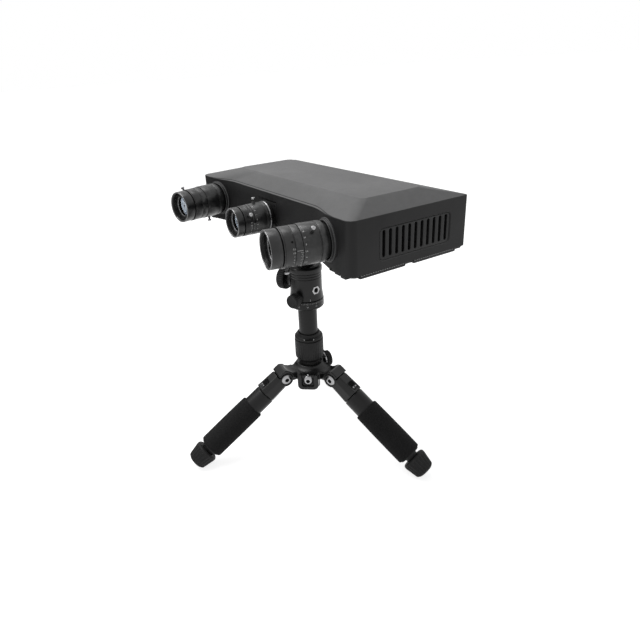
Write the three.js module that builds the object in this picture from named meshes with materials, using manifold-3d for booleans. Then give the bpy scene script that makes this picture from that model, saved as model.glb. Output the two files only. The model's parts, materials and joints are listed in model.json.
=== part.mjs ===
// A stereo 3-D scanner bar on a ball head and a table tripod.
// Millimetres, +Z up, the bar along X, its lenses looking along -Y.
import * as THREE from 'three';
import { mergeVertices } from 'three/addons/utils/BufferGeometryUtils.js';
import Module from 'manifold-3d';

const wasm = await Module();
wasm.setup();

// Clearances shared by every piece.
const runningGap = 0.3;
const overrun = 1;

// Facets round a turn, by how large the turned piece is.
const lensSteps = 18;
const stemSteps = 16;
const screwSteps = 8;
const cornerSteps = 3;
const plateSteps = 2;

// Driving dimensions of the scanner bar, from the wing plane and the cover's lower rim.
const bar = {
  length: 335,
  depth: 151.4,
  sideHeight: 55,
  crownHeight: 66.5,
  crownEdge: 0.8,
  wall: 2.5,
  cornerRadius: 12,
  rearRadius: 4.5,
  rimRound: 1.4,
  centreSetback: 11,
  browHeight: 8,
  browSetback: 6.5,
  crownInsetRight: 22.5,
  crownInsetLeft: 52,
  crownFront: 31,
  crownBack: 39,
  crownRadius: 8,
};
const browShare = 0.75;
const wingTipShare = 0.875;
const centreFlatShare = 0.53;
const faceSteps = 6;

// The stand's axis, behind the wings.
const axisBehindWings = 55;

// Vents in both ends of the bar, with the wall left in front of and behind them.
const vent = {
  frontWall: 35.5,
  rearWall: 23.9,
  height: 31,
  lift: 25.2,
  corner: 4,
  setback: 0.9,
  flange: 3,
  flangeThickness: 1.5,
  slotCount: 11,
  slotMargin: 3.85,
  slotWidth: 2.8,
  slotHeight: 26,
};
const slotTipShare = 0.45;
const ventLength = bar.depth - vent.frontWall - vent.rearWall;
const ventMiddle = vent.frontWall + ventLength / 2;
const slotPitch = (ventLength - vent.slotMargin * 2 - vent.slotWidth) / (vent.slotCount - 1);

// Plate that closes the bar from below, with what it carries inside.
const base = {
  thickness: 1.7,
  inset: 1.5,
  stripThickness: 1.5,
  stripWidth: 15,
  stripEnd: 12,
  stripNotch: 12,
  pedestalWidth: 26,
  pedestalDepth: 28,
  postRadius: 4,
};

// The two camera lenses, sizes along the axis counted back from the front rim.
const cameraLens = {
  reach: 60.2,
  height: 28.4,
  rimRadius: 19.5,
  rimRound: 0.6,
  frontLength: 11.3,
  grooveLength: 1,
  grooveDepth: 1.3,
  tubeRadius: 17.2,
  focusLength: 11.2,
  focusRadius: 20.1,
  bandLength: 7.3,
  bandRadius: 20.2,
  irisLength: 18.4,
  irisRadius: 20.7,
  rearLength: 5.6,
  rearRadius: 20.6,
  collarRadius: 18.3,
  collarLength: 0,
  flangeRadius: 18.3,
  mountAt: 7.7,
  mouthRadius: 17.6,
  mouthDepth: 2.4,
  throatRadius: 15.2,
  throatDepth: 2.6,
  glassRadius: 13.2,
  glassThickness: 4,
  glassCrown: 2.2,
  glassDepth: 8,
  focusScrewAt: 6,
  irisScrewAt: 11,
};
const toeIn = THREE.MathUtils.degToRad(11.5);
const cameraInset = 41.6;
const cameraSpan = bar.length - cameraInset * 2;

// The projector lens in the middle, shorter and narrower.
const projectorLens = {
  reach: 39.2,
  height: 27.3,
  rimRadius: 16.95,
  rimRound: 0.6,
  frontLength: 8,
  grooveLength: 1,
  grooveDepth: 1.2,
  tubeRadius: 14.6,
  focusLength: 8.8,
  focusRadius: 17.3,
  bandLength: 3,
  bandRadius: 17.4,
  irisLength: 15.5,
  irisRadius: 17.6,
  rearLength: 3,
  rearRadius: 17.5,
  collarRadius: 17.9,
  collarLength: 1.8,
  flangeRadius: 15,
  mountAt: 7.5,
  mouthRadius: 15.2,
  mouthDepth: 2.2,
  throatRadius: 13,
  throatDepth: 2.2,
  glassRadius: 11.4,
  glassThickness: 4,
  glassCrown: 2,
  glassDepth: 7,
  focusScrewAt: 5.5,
  irisScrewAt: 8,
};

// Where each lens's thumb screws stand, in degrees up from the +X side.
const screwAngles = {
  right: { focus: -82, iris: 48 },
  left: { focus: 130, iris: -88 },
  projector: { focus: 28, iris: 92 },
};
const ringGroove = { from: 1.2, width: 0.8, depth: 0.4 };

// Threaded mount behind every lens and the thumb screws in its rings.
const thread = { radius: 12.7, length: 6 };
const thumbScrew = {
  stemRadius: 1.1,
  stemLength: 3.6,
  headRadius: 2.5,
  headLength: 2.6,
  bossRadius: 2.1,
  bossHeight: 1.2,
};

// Moulded rings round each camera lens on the cover.
const bezel = {
  innerRadius: 21.6,
  outerRadius: 24,
  innerFace: 0.2,
  outerFace: -2.1,
  root: 7.2,
  boreRadius: 19.1,
};

// Camera bodies and the light engine inside the bar.
const camera = { width: 34, height: 30, depth: 38 };
const engine = { width: 60, height: 44 };
const hatch = { width: 42, height: 44.4, rise: 3.5, gap: 0.6 };

// Electronics, fan and rear panel.
const board = {
  length: 92,
  width: 46,
  margin: 6,
  rearGap: 7.8,
  thickness: 1.6,
  lift: 16,
  chip: 16,
  chipHeight: 2.4,
};
const fan = {
  size: 40,
  depth: 10,
  boreRadius: 18,
  hubRadius: 8,
  hubDepth: 5,
  bladeCount: 7,
  bladeThickness: 1.2,
  bladeDepth: 5,
  pinRadius: 2,
  strutWidth: 3,
  strutDepth: 1.6,
  setback: 9,
};
const bladePitch = THREE.MathUtils.degToRad(50);
const fanSeatShare = 0.7;
const panel = {
  length: 118,
  height: 34,
  thickness: 6,
  lift: 25,
  corner: 3,
  proud: 0.4,
  socketDepth: 3.4,
  socketWidth: 12,
  socketHeight: 8,
  socketPitch: 20,
  jackRadius: 4.5,
};
const rocker = { width: 10, height: 14, depth: 3.4, proud: 0.8, rise: 0.8, inset: 17 };
const rockerAt = panel.length / 2 - rocker.inset;
const rockerTilt = THREE.MathUtils.degToRad(6);

// Plate, clamp, ball and head.
const plate = {
  length: 50,
  width: 38,
  padWidth: 44,
  thickness: 8,
  footHeight: 1,
  bevel: 3,
  padHeight: 5,
};
const clamp = {
  radius: 23,
  thickness: 8,
  jawWidth: 5,
  jawGap: 0.45,
  jawLength: 34,
  screwRadius: 2.6,
  screwDepth: 12,
};
const clampKnob = {
  azimuth: 180,
  reach: 35,
  thickness: 10,
  radius: 8,
  edge: 1,
  shaftRadius: 2.6,
  shaftEnd: 12.4,
  ribCount: 12,
  ribDepth: 0.6,
};
const ball = {
  radius: 15.5,
  socketGap: 0.8,
  stemRadius: 6,
  flangeRadius: 9.5,
  flangeThickness: 2.4,
  stemLength: 35.1,
};
const grooveFlankShare = 0.8;
const head = {
  mouthRise: 10,
  floorDepth: 34.2,
  radius: 19.8,
  waistRadius: 20.3,
  footRadius: 21.4,
  mouthRadius: 12.9,
  topRound: 2.2,
  grooveFall: 13,
  grooveWidth: 1.8,
  grooveDepth: 0.8,
  groovePitch: 4.2,
  flareHeight: 7,
  spigotRadius: 12,
  spigotHeight: 8,
};
const panBase = { radius: 22.1, thickness: 9.6, edge: 1.5 };
const ballKnob = {
  azimuth: -65,
  belowBall: 14,
  reach: 44,
  thickness: 12,
  radius: 13.5,
  edge: 1.2,
  shaftRadius: 5,
  shaftEnd: 17,
  bossRadius: 8.6,
  bossReach: 25,
  ribCount: 15,
  ribDepth: 0.9,
};
const panKnob = {
  azimuth: 25,
  aboveFoot: 4.2,
  reach: 35,
  thickness: 11.2,
  radius: 9,
  edge: 1.6,
  shaftRadius: 3.4,
  shaftEnd: 13,
  bossRadius: 7.4,
  bossReach: 23,
  ribCount: 12,
  ribDepth: 0,
};
const column = {
  radius: 11.7,
  length: 126,
  shownLength: 39.6,
  endRound: 1.2,
  studRadius: 4,
  studLength: 7,
};

// Twist collar over the split neck of the hub.
const collar = {
  lipHeight: 7.5,
  lipRadius: 14.6,
  shoulderRadius: 16.6,
  ringHeight: 5.5,
  ringRadius: 18.7,
  seam: 0.9,
  gripHeight: 20.5,
  bodyRadius: 19.2,
  taperHeight: 12.1,
  bottomRadius: 15,
  ribCount: 18,
  ribDepth: 0.55,
  notchWidth: 9,
  notchHeight: 2.2,
  notchDepth: 1.2,
};
const notchAzimuth = 58;

// Hub with three arms, two lugs and a lock knob; its falls count from the neck's foot.
const hub = {
  neckWall: 1.4,
  neckRise: 1,
  neckGap: 1.4,
  coreRadius: 17.5,
  shoulderFall: 5,
  coreFall: 27,
  armWidth: 24,
  armFall: 1.3,
  lugWidth: 26,
  lugReach: 36,
  lugFall: 1.5,
  lugHeight: 22.7,
  lugRound: 6,
  lugRecessWidth: 15,
  lugRecessDepth: 4.5,
  lugRecessRise: 4,
};
const hubKnob = {
  azimuth: 171,
  fall: 3.5,
  reach: 33.5,
  thickness: 9.5,
  radius: 13.2,
  edge: 1.2,
  bossRadius: 4.2,
  shaftRadius: 2.8,
  shaftEnd: 14,
  ribCount: 14,
  ribDepth: 0.8,
};

// Legs: sizes along the leg are counted from its pivot.
const leg = {
  count: 3,
  firstAzimuth: -9,
  pivotRadius: 40,
  pivotFall: 13.4,
  slope: 35.2,
  castingWidth: 24,
  castingEnd: 34,
  castingTop: 13,
  castingFloor: 10.4,
  castingNose: 5.4,
  roofWidth: 15,
  shoulderRise: 7,
  hipRise: -5,
  floorWidth: 14,
  cheekRadius: 8.8,
  tongueWidth: 13,
  slotEnd: 10.9,
  stopBack: 6.3,
  stopFront: 4.7,
  stopThickness: 6,
  pinRadius: 3,
  screwHeadRadius: 6.3,
  screwHeadHeight: 2.6,
  screwHeadSink: 1.6,
  tubeRadius: 11.5,
  spigotRadius: 8.8,
  spigotLength: 14,
  gripStart: 58.7,
  gripEnd: 135.4,
  gripRadius: 14.8,
  gripRound: 1.8,
  footStart: 141.8,
  footEnd: 165.6,
  footRadius: 14.9,
  footEndRadius: 13.2,
  footDome: 3.2,
  footRibCount: 11,
  footRibDepth: 0.7,
  neckRadius: 8.5,
  neckSeat: 9,
};
const tab = { start: 19.4, length: 8.2, width: 9, sink: 1.3, proud: 0.9, travel: 3 };
const tubeLead = 2;
const linkShare = 1.6;
const buttonShare = 0.7;
const domeShare = 0.72;

// Materials in the colours of the photograph.
function finish(color, roughness, metalness) {
  return new THREE.MeshStandardMaterial({ color, roughness, metalness });
}
const coverPlastic = finish(0x1c1c1e, 0.55, 0);
const anodised = finish(0x161617, 0.38, 0.35);
const paintedMetal = finish(0x151516, 0.45, 0.2);
const foam = finish(0x0c0c0d, 0.95, 0);
const rubber = finish(0x131314, 0.8, 0);
const steel = finish(0xb9bcc0, 0.3, 1);
const glass = finish(0x27323a, 0.05, 0);
const boardGreen = finish(0x1d4a33, 0.6, 0);

// Closed mesh to solid, dropping the empty faces that a lathe leaves on its axis.
function solidOf(geometry) {
  const bare = geometry.clone();
  bare.deleteAttribute('normal');
  bare.deleteAttribute('uv');
  const merged = mergeVertices(bare);
  const corners = merged.index.array;
  const position = merged.attributes.position;
  const kept = [];
  let volume = 0;
  const [a, b, c] = [new THREE.Vector3(), new THREE.Vector3(), new THREE.Vector3()];
  for (let i = 0; i < corners.length; i += 3) {
    const face = [corners[i], corners[i + 1], corners[i + 2]];
    if (new Set(face).size === 3) {
      kept.push(...face);
      a.fromBufferAttribute(position, face[0]);
      b.fromBufferAttribute(position, face[1]);
      c.fromBufferAttribute(position, face[2]);
      volume += a.dot(b.cross(c));
    }
  }
  if (volume < 0) {
    kept.reverse();
  }
  const mesh = new wasm.Mesh({
    numProp: 3,
    vertProperties: new Float32Array(position.array),
    triVerts: new Uint32Array(kept),
  });
  return new wasm.Manifold(mesh);
}

function geometryOf(solid) {
  const mesh = solid.getMesh();
  const geometry = new THREE.BufferGeometry();
  geometry.setAttribute('position', new THREE.BufferAttribute(mesh.vertProperties, 3));
  geometry.setIndex(new THREE.BufferAttribute(mesh.triVerts, 1));
  geometry.computeVertexNormals();
  return geometry;
}

function joined(first, ...others) {
  return geometryOf(others.reduce((sum, part) => sum.add(solidOf(part)), solidOf(first)));
}

function cut(body, ...cutters) {
  return geometryOf(cutters.reduce((rest, tool) => rest.subtract(solidOf(tool)), solidOf(body)));
}

// Basic shapes.
function block(width, depth, height) {
  return new THREE.BoxGeometry(width, depth, height);
}

// A revolve about Z of [radius, height] pairs that start and end on the axis.
function turned(points, steps) {
  const outline = points.map(([radius, height]) => new THREE.Vector2(radius, height));
  return new THREE.LatheGeometry(outline, steps).rotateX(Math.PI / 2);
}

// A revolve about Z of a closed loop of [radius, height] pairs.
function turnedRing(points, steps) {
  return turned([...points, points[0]], steps);
}

function rod(radius, from, to, steps = stemSteps) {
  return turned([[0, from], [radius, from], [radius, to], [0, to]], steps);
}

// A round hole whose flats keep the running gap to a pin of the given radius.
function bore(pinRadius, from, to, steps = stemSteps) {
  return rod((pinRadius + runningGap) / Math.cos(Math.PI / steps), from, to, steps);
}

function prism(points, height) {
  const shape = new THREE.Shape(points.map(([x, y]) => new THREE.Vector2(x, y)));
  return new THREE.ExtrudeGeometry(shape, { depth: height, bevelEnabled: false });
}

function roundedRectangle(width, height, radius) {
  const shape = new THREE.Shape();
  const [x, y] = [width / 2, height / 2];
  shape.absarc(x - radius, y - radius, radius, 0, Math.PI / 2);
  shape.absarc(radius - x, y - radius, radius, Math.PI / 2, Math.PI);
  shape.absarc(radius - x, radius - y, radius, Math.PI, Math.PI * 1.5);
  shape.absarc(x - radius, radius - y, radius, Math.PI * 1.5, Math.PI * 2);
  return shape;
}

function roundedPlate(width, height, radius, thickness) {
  const shape = roundedRectangle(width, height, radius);
  return new THREE.ExtrudeGeometry(shape, {
    depth: thickness,
    bevelEnabled: false,
    curveSegments: plateSteps,
  });
}

// A turned grip whose side is fluted by ribs, from [radius, height] pairs.
function fluted(points, ribCount, ribDepth) {
  const geometry = turned(points, ribCount * 2);
  const position = geometry.attributes.position;
  const widest = Math.max(...points.map(([radius]) => radius));
  for (let i = 0; i < position.count; i += 1) {
    const radius = Math.hypot(position.getX(i), position.getY(i));
    const turn = Math.atan2(position.getX(i), -position.getY(i)) / Math.PI;
    const valley = Math.round(turn * ribCount) % 2 !== 0;
    if (valley && radius > widest - ribDepth * 2) {
      const share = (radius - ribDepth) / radius;
      position.setX(i, position.getX(i) * share);
      position.setY(i, position.getY(i) * share);
    }
  }
  return geometry;
}

function piece(name, geometry, material) {
  const mesh = new THREE.Mesh(geometryOf(solidOf(geometry)), material);
  mesh.name = name;
  return mesh;
}

function placed(object, x, y, z) {
  object.position.set(x, y, z);
  return object;
}

// A group that looks outward along +X at an azimuth counted from -Y towards +X.
function facing(azimuth) {
  const group = new THREE.Group();
  group.rotation.z = THREE.MathUtils.degToRad(azimuth - 90);
  return group;
}

// The bar's outline at one height, counter-clockwise from the front left corner.
function barRing(height, { left, right, front, centre, back, radius, rearRadius }) {
  const ring = [];
  const corner = (x, y, radius, start) => {
    for (let i = 0; i <= cornerSteps; i += 1) {
      const angle = start + (Math.PI / 2) * (i / cornerSteps);
      ring.push([x + radius * Math.cos(angle), y + radius * Math.sin(angle), height]);
    }
  };
  const face = (side) => {
    const end = side < 0 ? left : right;
    const tip = end * wingTipShare;
    const flat = end * centreFlatShare;
    const steps = [...Array(faceSteps + 1).keys()];
    const order = side < 0 ? steps : steps.reverse();
    for (const step of order) {
      const share = step / faceSteps;
      const sweep = THREE.MathUtils.smoothstep(share, 0, 1);
      const x = side * (tip + (flat - tip) * share);
      ring.push([x, front + (centre - front) * sweep, height]);
    }
  };
  corner(radius - left, front + radius, radius, Math.PI);
  face(-1);
  face(1);
  corner(right - radius, front + radius, radius, Math.PI * 1.5);
  corner(right - rearRadius, back - rearRadius, rearRadius, 0);
  corner(rearRadius - left, back - rearRadius, rearRadius, Math.PI / 2);
  return ring;
}

// A closed skin over rings of equal count, flat at both ends.
function lofted(rings) {
  const count = rings[0].length;
  const corners = [];
  for (let level = 0; level + 1 < rings.length; level += 1) {
    for (let i = 0; i < count; i += 1) {
      const [low, next] = [level * count + i, level * count + ((i + 1) % count)];
      corners.push(low, next, next + count, low, next + count, low + count);
    }
  }
  const last = (rings.length - 1) * count;
  const contour = rings[0].map(([x, y]) => new THREE.Vector2(x, y));
  for (const [a, b, c] of THREE.ShapeUtils.triangulateShape(contour, [])) {
    corners.push(c, b, a);
  }
  const lid = rings[rings.length - 1].map(([x, y]) => new THREE.Vector2(x, y));
  for (const [a, b, c] of THREE.ShapeUtils.triangulateShape(lid, [])) {
    corners.push(last + a, last + b, last + c);
  }
  const geometry = new THREE.BufferGeometry();
  geometry.setAttribute('position', new THREE.Float32BufferAttribute(rings.flat(2), 3));
  geometry.setIndex(corners);
  return geometry;
}

// The cover's form, inset on all sides for its cavity.
function barForm(inset, floor) {
  const half = bar.length / 2;
  const wallRing = (height, setback, round = 0) => barRing(height, {
    left: half - inset - round,
    right: half - inset - round,
    front: inset + round,
    centre: bar.centreSetback + setback + inset,
    back: bar.depth - inset - round,
    radius: bar.cornerRadius - inset,
    rearRadius: bar.rearRadius - inset,
  });
  const crownRing = (height, extra) => barRing(height, {
    left: half - bar.crownInsetLeft - extra,
    right: half - bar.crownInsetRight - extra,
    front: bar.crownFront + extra,
    centre: bar.crownFront + extra,
    back: bar.depth - bar.crownBack - extra,
    radius: bar.crownRadius,
    rearRadius: bar.crownRadius,
  });
  const top = bar.sideHeight - inset;
  const crown = bar.crownHeight - inset;
  if (inset > 0) {
    return lofted([
      wallRing(floor, 0),
      wallRing(top - bar.browHeight, 0),
      wallRing(top - bar.rimRound, bar.browSetback),
      crownRing(crown, inset + bar.crownEdge),
    ]);
  }
  return lofted([
    wallRing(floor, 0),
    wallRing(top - bar.browHeight, 0),
    wallRing(top - bar.browHeight / 2, bar.browSetback / 4),
    wallRing(top - bar.rimRound, bar.browSetback * browShare),
    wallRing(top, bar.browSetback, bar.rimRound),
    crownRing(crown - bar.crownEdge, 0),
    crownRing(crown, bar.crownEdge * 2),
  ]);
}

// Puts geometry made round Z onto a lens axis, which points to -Y.
function alongLens(geometry) {
  return geometry.rotateX(Math.PI / 2);
}

function lensPose(side) {
  return new THREE.Matrix4()
    .makeRotationZ(-side * toeIn)
    .setPosition((side * cameraSpan) / 2, 0, cameraLens.height);
}

// Vent insert on the +X end: a flanged plate with upright round-ended slots.
function ventGrille() {
  const depth = bar.wall - vent.setback + runningGap + vent.flangeThickness;
  const face = roundedPlate(ventLength, vent.height, vent.corner, depth);
  const rim = roundedPlate(
    ventLength + vent.flange * 2,
    vent.height + vent.flange * 2,
    vent.corner + vent.flange,
    vent.flangeThickness,
  );
  const slots = [];
  for (let i = 0; i < vent.slotCount; i += 1) {
    const [x, y] = [vent.slotWidth / 2, vent.slotHeight / 2];
    const [tip, shoulder] = [x * slotTipShare, y - x];
    const slot = prism([
      [-tip, -y],
      [tip, -y],
      [x, -shoulder],
      [x, shoulder],
      [tip, y],
      [-tip, y],
      [-x, shoulder],
      [-x, -shoulder],
    ], depth + overrun * 2);
    const along = (i - (vent.slotCount - 1) / 2) * slotPitch;
    slots.push(slot.translate(along, 0, -overrun));
  }
  return cut(joined(face, rim), ...slots);
}

// Turns a plate drawn in XY and thickened along Z to face +X, its first side along Y.
function onEnd(geometry) {
  return geometry.rotateX(Math.PI / 2).rotateZ(Math.PI / 2);
}

function ventOpening(side) {
  const opening = onEnd(roundedPlate(
    ventLength + runningGap * 2,
    vent.height + runningGap * 2,
    vent.corner + runningGap,
    bar.wall + overrun * 2,
  ));
  const x = bar.length / 2 - bar.wall - overrun;
  opening.translate(x, ventMiddle, vent.lift);
  return side < 0 ? opening.rotateZ(Math.PI).translate(0, ventMiddle * 2, 0) : opening;
}

function rearOpening() {
  const opening = roundedPlate(
    panel.length + runningGap * 2,
    panel.height + runningGap * 2,
    panel.corner + runningGap,
    bar.wall + overrun * 2,
  );
  return opening
    .rotateX(Math.PI / 2)
    .translate(0, bar.depth + overrun, panel.lift);
}

function topCover() {
  const shell = cut(barForm(0, 0), barForm(bar.wall, -overrun));
  const rings = [];
  const bores = [];
  for (const side of [-1, 1]) {
    const step = (radius, from, to) => alongLens(rod(radius, from, to, lensSteps))
      .applyMatrix4(lensPose(side));
    rings.push(step(bezel.outerRadius, -bezel.root, bezel.outerFace));
    rings.push(step(bezel.innerRadius, -bezel.root, bezel.innerFace));
    bores.push(step(bezel.boreRadius, -bezel.root * 2, bezel.innerFace + overrun));
  }
  const window = block(hatch.width, bar.centreSetback * 2, hatch.height)
    .translate(0, bar.centreSetback, projectorLens.height);
  return cut(joined(shell, ...rings), ...bores, window, ventOpening(1), ventOpening(-1), rearOpening());
}

// Places inside the bar that the base plate's seats reach up to.
const plateTop = -runningGap;
const plateBottom = plateTop - base.thickness;
const endStripBottom = plateBottom - base.stripThickness;
const cameraSeat = cameraLens.height - camera.height / 2 - runningGap;
const engineSeat = projectorLens.height - engine.height / 2 - runningGap;
const engineFront = bar.centreSetback + bar.browSetback + bar.wall;
const boardMiddle = bar.depth + panel.proud - panel.thickness - board.rearGap - board.width / 2;
const engineDepth = boardMiddle - board.width / 2 - board.margin - engineFront;
const engineMiddle = engineFront + engineDepth / 2;
const fanSeat = vent.lift - fan.size / 2 - runningGap;
const fanBack = bar.length / 2 - fan.setback - fan.depth;
const hatchFace = bar.centreSetback - hatch.rise;
const rockerPocketDepth = rocker.depth + rocker.rise;

function postsAt(places, radius, from, to) {
  return places.map(([x, y]) => rod(radius, from, to, screwSteps).translate(x, y, 0));
}

function boardPosts() {
  const places = [];
  for (const side of [-1, 1]) {
    for (const end of [-1, 1]) {
      const x = (side * (board.length - base.postRadius * 2)) / 2;
      const y = boardMiddle + (end * (board.width - base.postRadius * 2)) / 2;
      places.push([x, y]);
    }
  }
  return postsAt(places, base.postRadius, plateTop - base.thickness / 2, board.lift - runningGap);
}

function basePlate() {
  const half = bar.length / 2;
  const ring = barRing(0, {
    left: half - base.inset,
    right: half - base.inset,
    front: base.inset,
    centre: bar.centreSetback + base.inset,
    back: bar.depth - base.inset,
    radius: bar.cornerRadius - base.inset,
    rearRadius: bar.rearRadius - base.inset,
  });
  const parts = [];
  const stripLength = (bar.depth - base.stripNotch) / 2 - base.stripEnd;
  const seatUp = (width, depth, top) => {
    const from = plateTop - base.thickness / 2;
    return block(width, depth, top - from).translate(0, 0, (top + from) / 2);
  };
  for (const side of [-1, 1]) {
    for (const end of [-1, 1]) {
      const strip = block(base.stripWidth, stripLength, base.stripThickness + base.thickness / 2);
      parts.push(strip.translate(
        side * (half - base.inset - base.stripWidth / 2),
        bar.depth / 2 + (end * (base.stripNotch + stripLength)) / 2,
        endStripBottom + (base.stripThickness + base.thickness / 2) / 2,
      ));
    }
    const pedestal = seatUp(base.pedestalWidth, base.pedestalDepth, cameraSeat)
      .translate(0, cameraLens.mountAt + camera.depth / 2, 0)
      .rotateZ(-side * toeIn)
      .translate((side * cameraSpan) / 2, 0, 0);
    parts.push(pedestal);
  }
  parts.push(seatUp(engine.width / 2, engineDepth / 2, engineSeat).translate(0, engineMiddle, 0));
  parts.push(
    seatUp(fan.depth, fan.size * fanSeatShare, fanSeat)
      .translate(fanBack + fan.depth / 2, ventMiddle, 0),
  );
  const floor = prism(ring, base.thickness).translate(0, 0, plateBottom);
  return joined(floor, ...parts, ...boardPosts());
}

function cameraBody() {
  const body = block(camera.width, camera.depth, camera.height)
    .translate(0, cameraLens.mountAt + camera.depth / 2, 0);
  const socket = alongLens(bore(
    thread.radius,
    -cameraLens.mountAt - thread.length - runningGap,
    -cameraLens.mountAt + overrun,
    lensSteps,
  ));
  return cut(body, socket);
}

// Light engine: its front plate fills the cover's window behind the projector lens.
function projectorModule() {
  const plateDepth = engineFront - hatchFace;
  const front = block(
    hatch.width - hatch.gap * 2,
    plateDepth + overrun,
    hatch.height - hatch.gap * 2,
  ).translate(0, hatchFace + (plateDepth + overrun) / 2, 0);
  const body = block(engine.width, engineDepth, engine.height).translate(0, engineMiddle, 0);
  const socket = alongLens(bore(
    thread.radius,
    -hatchFace - thread.length - runningGap,
    -hatchFace + overrun,
    lensSteps,
  ));
  return cut(joined(front, body), socket);
}

function controlBoard() {
  const slab = block(board.length, board.width, board.thickness)
    .translate(0, boardMiddle, board.lift + board.thickness / 2);
  const chips = [-1, 0, 1].map((step) => block(board.chip, board.chip, board.chipHeight)
    .translate(
      (step * board.length) / 3,
      boardMiddle,
      board.lift + board.thickness + board.chipHeight / 2 - board.thickness / 2,
    ));
  return joined(slab, ...chips);
}

// Fan frame and rotor face +X; both are made round Z first.
function fanFrame() {
  const frame = cut(
    roundedPlate(fan.size, fan.size, fan.strutWidth, fan.depth),
    rod(fan.boreRadius, -overrun, fan.depth + overrun),
  );
  const hubDisc = rod(fan.hubRadius, 0, fan.strutDepth);
  const pin = rod(fan.pinRadius, 0, fan.depth - fan.strutDepth, screwSteps);
  const strut = block(fan.size - fan.strutWidth, fan.strutWidth, fan.strutDepth)
    .translate(0, 0, fan.strutDepth / 2);
  return onEnd(joined(frame, hubDisc, pin, strut, strut.clone().rotateZ(Math.PI / 2)));
}

function fanRotor() {
  const from = fan.strutDepth + runningGap;
  const blades = [];
  for (let i = 0; i < fan.bladeCount; i += 1) {
    const reach = fan.boreRadius - runningGap * 2;
    const blade = block(reach - fan.hubRadius / 2, fan.bladeThickness, fan.bladeDepth)
      .rotateX(bladePitch)
      .translate((reach + fan.hubRadius / 2) / 2, 0, from + fan.hubDepth / 2)
      .rotateZ((i / fan.bladeCount) * Math.PI * 2);
    blades.push(blade);
  }
  const hubBlock = rod(fan.hubRadius, from, from + fan.hubDepth);
  const pinHole = bore(fan.pinRadius, from - overrun, fan.depth, screwSteps);
  return onEnd(cut(joined(hubBlock, ...blades), pinHole));
}

// Rear panel with shallow sockets and a rocker, its outer face on y = 0 looking to +Y.
function rearPanel() {
  const face = roundedPlate(panel.length, panel.height, panel.corner, panel.thickness);
  const rim = roundedPlate(
    panel.length + vent.flange * 2,
    panel.height + vent.flange * 2,
    panel.corner + vent.flange,
    vent.flangeThickness,
  ).translate(0, 0, panel.proud + bar.wall + runningGap);
  const sink = panel.socketDepth + overrun;
  const sockets = [-1, 1].map((side) => block(panel.socketWidth, panel.socketHeight, sink)
    .translate(-panel.socketPitch / 2 + (side * panel.socketPitch) / 2, 0, sink / 2 - overrun));
  const round = rod(panel.jackRadius, -overrun, panel.socketDepth)
    .translate(-panel.socketPitch * 2, 0, 0);
  const pocket = block(
    rocker.width + runningGap * 2,
    rocker.height + runningGap * 4,
    rockerPocketDepth + overrun,
  ).translate(rockerAt, 0, (rockerPocketDepth - overrun) / 2);
  return cut(joined(face, rim), ...sockets, round, pocket)
    .rotateX(Math.PI / 2);
}

function powerSwitch() {
  return block(rocker.width, rocker.depth, rocker.height)
    .translate(0, rocker.proud - rocker.depth / 2, 0);
}

// Lens pieces are revolves on the lens axis; distances run back from the front rim.
function lensPlan(lens) {
  const from = {};
  let back = lens.frontLength + lens.grooveLength + runningGap;
  for (const ring of ['focus', 'band', 'iris', 'rear']) {
    from[ring] = lens.reach - back;
    back += lens[`${ring}Length`];
    from[`${ring}End`] = lens.reach - back;
    back += runningGap;
  }
  from.collarEnd = from.rearEnd - lens.collarLength;
  from.flangeEnd = runningGap - lens.mountAt;
  return from;
}

function lensBarrel(lens) {
  const at = lensPlan(lens);
  const front = lens.reach;
  const waist = front - lens.frontLength;
  const seat = front - lens.glassDepth - lens.glassThickness - runningGap;
  const throat = front - lens.mouthDepth - lens.throatDepth;
  const glassBore = lens.glassRadius + runningGap;
  const tail = at.flangeEnd - thread.length;
  const collar = lens.collarLength > 0
    ? [[lens.flangeRadius, at.collarEnd], [lens.collarRadius, at.collarEnd]]
    : [];
  return alongLens(turned([
    [0, tail],
    [thread.radius, tail],
    [thread.radius, at.flangeEnd],
    [lens.flangeRadius, at.flangeEnd],
    ...collar,
    [lens.collarRadius, at.rearEnd],
    [lens.rearRadius, at.rearEnd],
    [lens.rearRadius, at.rear],
    [lens.tubeRadius, at.rear],
    [lens.tubeRadius, at.bandEnd],
    [lens.bandRadius, at.bandEnd],
    [lens.bandRadius, at.band],
    [lens.tubeRadius, at.band],
    [lens.tubeRadius, waist - lens.grooveLength],
    [lens.rimRadius - lens.grooveDepth, waist - lens.grooveLength],
    [lens.rimRadius - lens.grooveDepth, waist],
    [lens.rimRadius, waist],
    [lens.rimRadius, front - lens.rimRound],
    [lens.rimRadius - lens.rimRound, front],
    [lens.mouthRadius, front],
    [lens.mouthRadius, front - lens.mouthDepth],
    [lens.throatRadius, front - lens.mouthDepth],
    [lens.throatRadius, throat],
    [glassBore, throat],
    [glassBore, seat],
    [0, seat],
  ], lensSteps));
}

// The place of a thumb screw on a ring: outward along +Z from the ring's surface.
function screwPose(radius, along, angle) {
  return new THREE.Matrix4()
    .makeRotationY(Math.PI / 2 - THREE.MathUtils.degToRad(angle))
    .premultiply(new THREE.Matrix4().makeTranslation(
      radius * Math.cos(THREE.MathUtils.degToRad(angle)),
      -along,
      radius * Math.sin(THREE.MathUtils.degToRad(angle)),
    ));
}

function lensRing(lens, outer, from, to, grooved) {
  const inner = lens.tubeRadius + runningGap;
  const lip = from - ringGroove.from;
  const groove = [
    [outer, lip - ringGroove.width],
    [outer - ringGroove.depth, lip - ringGroove.width / 2],
    [outer, lip],
  ];
  return alongLens(turnedRing([
    [inner, to],
    [outer, to],
    ...(grooved ? groove : []),
    [outer, from],
    [inner, from],
  ], lensSteps));
}

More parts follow.
